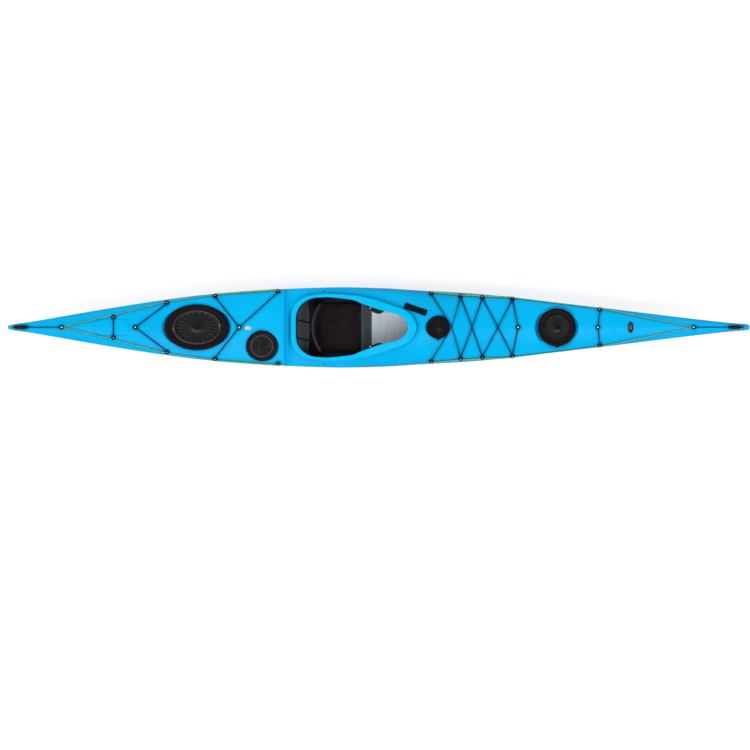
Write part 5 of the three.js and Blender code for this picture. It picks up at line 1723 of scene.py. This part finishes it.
def band_points():
    """Points on the front and the back of the band, row by row from starboard."""
    across, up = BAND_STEPS
    front, back = [], []
    for i in range(across + 1):
        y = BAND_HALF * 0.995 * math.sin(math.pi / 2 * (2 * i / across - 1))
        for k in range(up + 1):
            share = k / up
            z = BAND_FOOT + 1 * MM + (band_top(y) - BAND_FOOT - 2 * MM) * share
            out = abs(y) / BAND_HALF
            edge = min(share, 1 - share) * (band_top(y) - BAND_FOOT)
            plump = smooth_step(edge / PLUMP_REACH) * smooth_step((1 - out) * BAND_HALF / PLUMP_REACH)
            seams = [math.exp(-((share - line) / QUILT_WIDTH) ** 2) for line in QUILT_LINES]
            thick = 4 * MM + (BAND_THICKNESS - 4.5 * MM) * plump * (1 - QUILT_DEPTH * sum(seams))
            front.append(Vector((band_x(y) + 0.3 * MM + thick, y, z)))
            back.append(Vector((band_x(y) + 0.3 * MM, y, z)))
    return front + back


def make_backband():
    """A quilted pad on an arc, thick in the middle and thin at its sewn edge, with piping round its top."""
    across, up = BAND_STEPS
    step, count = up + 1, (across + 1) * (up + 1)
    faces = []
    for i in range(across):
        for k in range(up):
            a = i * step + k
            faces.append((a, a + step, a + step + 1, a + 1))
            faces.append((count + a, count + a + 1, count + a + step + 1, count + a + step))
    rim = list(range(step)) + [i * step + up for i in range(1, across + 1)]
    rim += [across * step + k for k in range(up - 1, -1, -1)] + [i * step for i in range(across - 1, 0, -1)]
    for here, after in zip(rim, rim[1:] + rim[:1]):
        faces.append((here, after, count + after, count + here))
    band = outward(make_object("backband_pad", band_points(), faces, [BAND_CLOTH]))
    place_piece(subdivided(sharpen(band, 60)), "backband", ["backband"])
    outs = [BAND_HALF * 0.985 * math.sin(math.pi / 2 * (i / 30 - 1)) for i in range(61)]
    edge = [Vector((band_x(y) + 3.4 * MM, y, band_top(y) - 2.2 * MM)) for y in outs]
    piping = swept("backband_piping", edge, 2 * MM, [PIPING], 10)
    place_piece(piping, "backband")


def strap_path(side):
    """Round the back of the band from its middle and forward to the strap's end."""
    outs = [(BAND_HALF + 1 * MM) * i / 16 for i in range(17)]
    points = [Vector((band_x(y) - GAP - STRAP_THICKNESS / 2, side * y, 0)) for y in outs]
    corner = points[-1]
    end = Vector((STRAP_END[0], side * (STRAP_END[1] + STRAP_THICKNESS / 2), 0))
    bow_out = Vector((0, side * 1.5 * MM, 0))
    return points + [corner.lerp(end, share) + bow_out for share in (0.04, 0.1, 0.2, 0.4, 0.6, 0.8)] + [end]


def make_strap(name, side):
    path = catmull(strap_path(side), STRAP_POINTS)
    low, high = STRAP_FOOT + 0.6 * MM, STRAP_FOOT + STRAP_HEIGHT - 0.6 * MM
    levels = [low + (high - low) * k / STRAP_ROWS for k in range(STRAP_ROWS + 1)]
    rows = [(Vector((0, 0, z)), 0.5 if k in (0, STRAP_ROWS) else 1) for k, z in enumerate(levels)]
    rings = []
    for i, point in enumerate(path):
        ahead = (path[min(i + 1, STRAP_POINTS - 1)] - path[max(i - 1, 0)]).normalized()
        out = Vector((ahead.y, -ahead.x, 0)) * STRAP_THICKNESS / 2
        rings.append([point + out * thin + up for up, thin in rows]
                     + [point - out * thin + up for up, thin in reversed(rows)])
    strap = lofted("strap_" + name, rings, [WEBBING])
    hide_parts("backband_strap")
    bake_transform(strap)
    return strap


make_backband()
for side_name, side in SIDES:
    make_strap(side_name, side)


# Thigh braces
BRACE_THICKNESS = 9 * MM
BRACE_REAR = COCKPIT_REAR + 0.595 * COCKPIT_LENGTH
BRACE_LENGTH = 0.15
BRACE_REACH = {"port": 46 * MM, "starboard": 30 * MM}
BRACE_ROOT = 13 * MM
BRACE_DROP = 16 * MM
BRACE_PITCH = 11
BRACE_SCREW_X = 0.055
# [share of the length, share of the reach in from the root line]
BRACE_SHARES = [
    [0, 0.02], [0.12, 0.36], [0.3, 0.72], [0.48, 0.93], [0.62, 1], [0.78, 0.92], [0.92, 0.62], [1, 0.12],
    [0.5, 0],
]


def opening_half(x):
    rows = [r[:2] for r in COAMING_SHARES[1:]]
    return COCKPIT_WIDTH / 2 * value_at(rows, (x - COCKPIT_REAR) / COCKPIT_LENGTH)


def make_brace(name, side):
    reach = BRACE_REACH[name]
    outline = []
    for along, inward, _ in catmull([(a, b, 0) for a, b in BRACE_SHARES], 54, closed=True):
        along = min(max(along, 0), 1)
        x = along * BRACE_LENGTH
        outline.append((x, side * (opening_half(BRACE_REAR + x) + BRACE_ROOT - inward * reach)))
    turn = Matrix.Rotation(-math.radians(BRACE_PITCH), 4, "Y")
    place = Matrix.Translation((BRACE_REAR, 0, lip_top(BRACE_REAR) - BRACE_DROP)) @ turn
    plate = prism("brace_" + name, outline, -BRACE_THICKNESS, 0, place, [BLACK])
    boolean(plate, [coaming_keepout()], "DIFFERENCE")
    place_piece(bevelled(plate, 2.6 * MM, 4), stands_for=["thigh_brace_" + name])
    half = opening_half(BRACE_REAR + BRACE_SCREW_X) - 10 * MM
    spot = place @ Vector((BRACE_SCREW_X, side * half, 0))
    make_screw("brace_screw_" + name, Matrix.Translation(spot) @ turn, 4.6 * MM, WHITE_PLASTIC, "steel")


def make_screw(name, place, radius, material, slot):
    """A countersunk head with a cross slot."""
    rows = [[0, -1 * MM], [radius, -1 * MM], [radius, 0.5 * MM], [radius * 0.75, 1.3 * MM], [0, 1.7 * MM]]
    head = turned(name, rows, place, [material], 28)
    sizes = [(radius * a, radius * b) for a, b in ((0.55, 0.14), (0.14, 0.55))]
    slots = [cutter_box(-a, a, -b, b, 0.8 * MM, 3 * MM, place, [material]) for a, b in sizes]
    boolean(head, slots, "DIFFERENCE")
    place_piece(sharpen(head, 35))


for side_name, side in SIDES:
    make_brace(side_name, side)


# Skeg: a foil in plan of its own, with its head round the pin
SKEG_BORE = 4.3 * MM
SKEG_GROOVES = (0.42, 0.52, 0.62)
GROOVE_DEPTH = 0.7 * MM
GROOVE_HALF = 2 * MM
GROOVE_FOOT = -0.014
# [share of SKEG_LENGTH from the pivot, share of SKEG_CHORD]
SKEG_OUTLINE_SHARES = [
    [0, -0.256], [0.958, -0.256], [1, -0.21], [0.983, 0.095], [0.893, 0.436], [0.813, 0.613], [0.737, 0.71],
    [0.595, 0.745], [0.427, 0.735], [0.274, 0.4], [0.15, 0.27], [0, 0.256],
]


def make_skeg():
    outline = [(-along * SKEG_LENGTH, across * SKEG_CHORD) for along, across in SKEG_OUTLINE_SHARES]
    turns = [math.pi * i / 16 for i in range(1, 16)]
    head = [(SKEG_HEAD * math.sin(t), SKEG_HEAD * math.cos(t)) for t in turns]
    turn = Matrix.Rotation(-math.radians(SKEG_DOWN), 4, "Y") @ Matrix.Rotation(math.pi / 2, 4, "X")
    place = Matrix.Translation(SKEG_PIVOT) @ turn
    outline = [tuple(p) for p in rounded_outline(outline, 9 * MM, 5)] + head
    half = SKEG_THICKNESS / 2
    plate = prism("skeg_foil", outline, -half, half, place, [SKEG_BLACK])
    boolean(plate, [round_hole(SKEG_BORE, place, [SKEG_BLACK])], "DIFFERENCE")
    face = half - GROOVE_DEPTH
    for groove in SKEG_GROOVES:
        x = -SKEG_LENGTH * groove
        for low, high in ((-face - BORE_REACH, -face), (face, face + BORE_REACH)):
            cut = cutter_box(x - GROOVE_HALF, x + GROOVE_HALF, GROOVE_FOOT, 0.05, low, high, place,
                             [SKEG_BLACK])
            boolean(plate, [cut], "DIFFERENCE")
    place_piece(bevelled(plate, 3.2 * MM, 4), "skeg", ["skeg_blade"])


make_skeg()


# Skeg control
GRIP_SIZE = (28 * MM, 26 * MM)
GRIP_ROUND = 6 * MM
GRIP_REST = 0.05 + 5 * MM
GRIP_REACH = 9 * MM
# [height over the frame, how far in from the grip's outline], in mm
GRIP_ROWS = [[0.3, 1.2], [0.9, 0.3], [2, 0], [5.5, 0.6], [8, 1.8], [9, 4]]
NOTCHES = 4
NOTCH_HALF = 0.8 * MM
NOTCH_STEP = 6 * MM


def make_control():
    body = rounded_box(CONTROL_LENGTH, CONTROL_WIDTH, 9 * MM)
    track = prism("control_body", body, -CONTROL_DEPTH, CONTROL_PROUD, CONTROL_FRAME, [BLACK])
    length, width, depth = CONTROL_CHANNEL
    channel = rounded_box(length, width, 7.5 * MM)
    cut = prism("channel", channel, CONTROL_PROUD - depth, 0.02, CONTROL_FRAME, [BLACK])
    boolean(track, [cut], "DIFFERENCE")
    place_piece(bevelled(track, 1.4 * MM, 3, 50), stands_for=["skeg_control_track"])
    make_grip()


def make_grip():
    """The sliding grip on its stem, with notches across its top."""
    rings = []
    for level, shrink in GRIP_ROWS:
        ring = rounded_box(*[size - 2 * shrink * MM for size in GRIP_SIZE], GRIP_ROUND, GRIP_REST)
        rings.append([CONTROL_FRAME @ Vector((*p, CONTROL_PROUD + level * MM)) for p in ring])
    grip = lofted("control_grip", rings, [BLACK])
    rear, front = GRIP_REST - GRIP_REACH, GRIP_REST + GRIP_REACH
    stem = cutter_box(rear, front, -7.7 * MM, 7.7 * MM, CONTROL_PROUD - 13.7 * MM, CONTROL_PROUD + 1 * MM,
                      CONTROL_FRAME, [BLACK])
    boolean(grip, [stem], "UNION")
    for i in range(NOTCHES):
        x = rear + NOTCH_STEP * i
        cut = cutter_box(x - NOTCH_HALF, x + NOTCH_HALF, -0.02, 0.02, CONTROL_PROUD + 8 * MM, 0.03,
                         CONTROL_FRAME, [BLACK])
        boolean(grip, [cut], "DIFFERENCE")
    place_piece(sharpen(grip, 30), "skeg_control_knob", ["skeg_control_knob"])


make_control()


# Small things on the deck
PLUG_X = 1.77
PLUG_WIDTH_SHARE = 2.05
EYE_PLACE = (-0.917, -0.005)
EYE_ARCH = 11 * MM
EYE_SCREW_X = 16 * MM


def on_lip(x, y):
    return Matrix.Translation((x, y, lip_top(x)))


# [name, frame that it stands in, x, y to port, radius, material, slot]
SCREWS = [
    ["coaming_screw_", on_lip, -0.09, 0.178, 4.5 * MM, STEEL, "steel"],
    ["seat_screw_", deck_frame, -0.381, 0.258, 4.5 * MM, BLACK, "moulded_black"],
    ["rest_screw_", deck_frame, 0.367, 0.118, 4 * MM, BLACK, "moulded_black"],
]


def make_screws():
    for side_name, side in SIDES:
        for name, frame_at, x, y, *finish_values in SCREWS:
            make_screw(name + side_name, frame_at(x, side * y), *finish_values)


def make_plug():
    """The oval rubber plug on the foredeck, with a raised face."""
    rows = in_mm([0, -3], [17, -3], [18.5, 0.5], [17.5, 2.6], [15, 3.4], [12.4, 3.2], [11.6, 2], [11, 2],
                 [10, 3], [0, 3.6])
    stretchy = deck_frame(PLUG_X, 0) @ Matrix.Diagonal((1, PLUG_WIDTH_SHARE, 1, 1))
    plug = turned("deck_plug", rows, stretchy, [BLACK, RED_BROWN], 56)
    back = stretchy.inverted()
    for face in plug.data.polygons:
        local = back @ face.center
        face.material_index = int(math.hypot(local.x, local.y) < 10.2 * MM and local.z > 1 * MM)
    place_piece(sharpen(plug, 40))


def make_eye():
    """A steel eye plate behind the hatches: two screws and a staple."""
    place = deck_frame(*EYE_PLACE)
    base = prism("plate", rounded_box(40 * MM, 26 * MM, 11 * MM), -1 * MM, 2.2 * MM, place, [WHITE_PLASTIC])
    turns = [math.pi * i / 24 for i in range(25)]
    arch = [place @ Vector((EYE_ARCH * math.cos(t), 0, 1 * MM + EYE_ARCH * math.sin(t))) for t in turns]
    staple = swept("staple", arch, 2.6 * MM, [DULL_STEEL], 12)
    rows = in_mm([0, 2], [3, 2], [2.4, 3.2], [0, 3.6])
    heads = [turned("head", rows, place @ Matrix.Translation((x, 0, 0)), [STEEL], 20)
             for x in (-EYE_SCREW_X, EYE_SCREW_X)]
    place_piece(sharpen(joined("deck_eye", [base, staple] + heads), 40))


make_screws()
make_plug()
make_eye()


# The CAD solids that stay get their looks
STAYING = {
    "bow_bulkhead": SLATE, "stern_bulkhead": SLATE, "skeg_box": BLACK, "skeg_pin": STEEL,
    "skeg_cable_tube": BLACK_CORD, "footrest_rail_port": BLACK, "footrest_rail_starboard": BLACK,
    "foot_peg_port": BLACK, "foot_peg_starboard": BLACK,
}
for node_name, node_material in STAYING.items():
    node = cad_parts[node_name]
    for material_slot in node.material_slots:
        material_slot.link = "OBJECT"
        material_slot.material = node_material
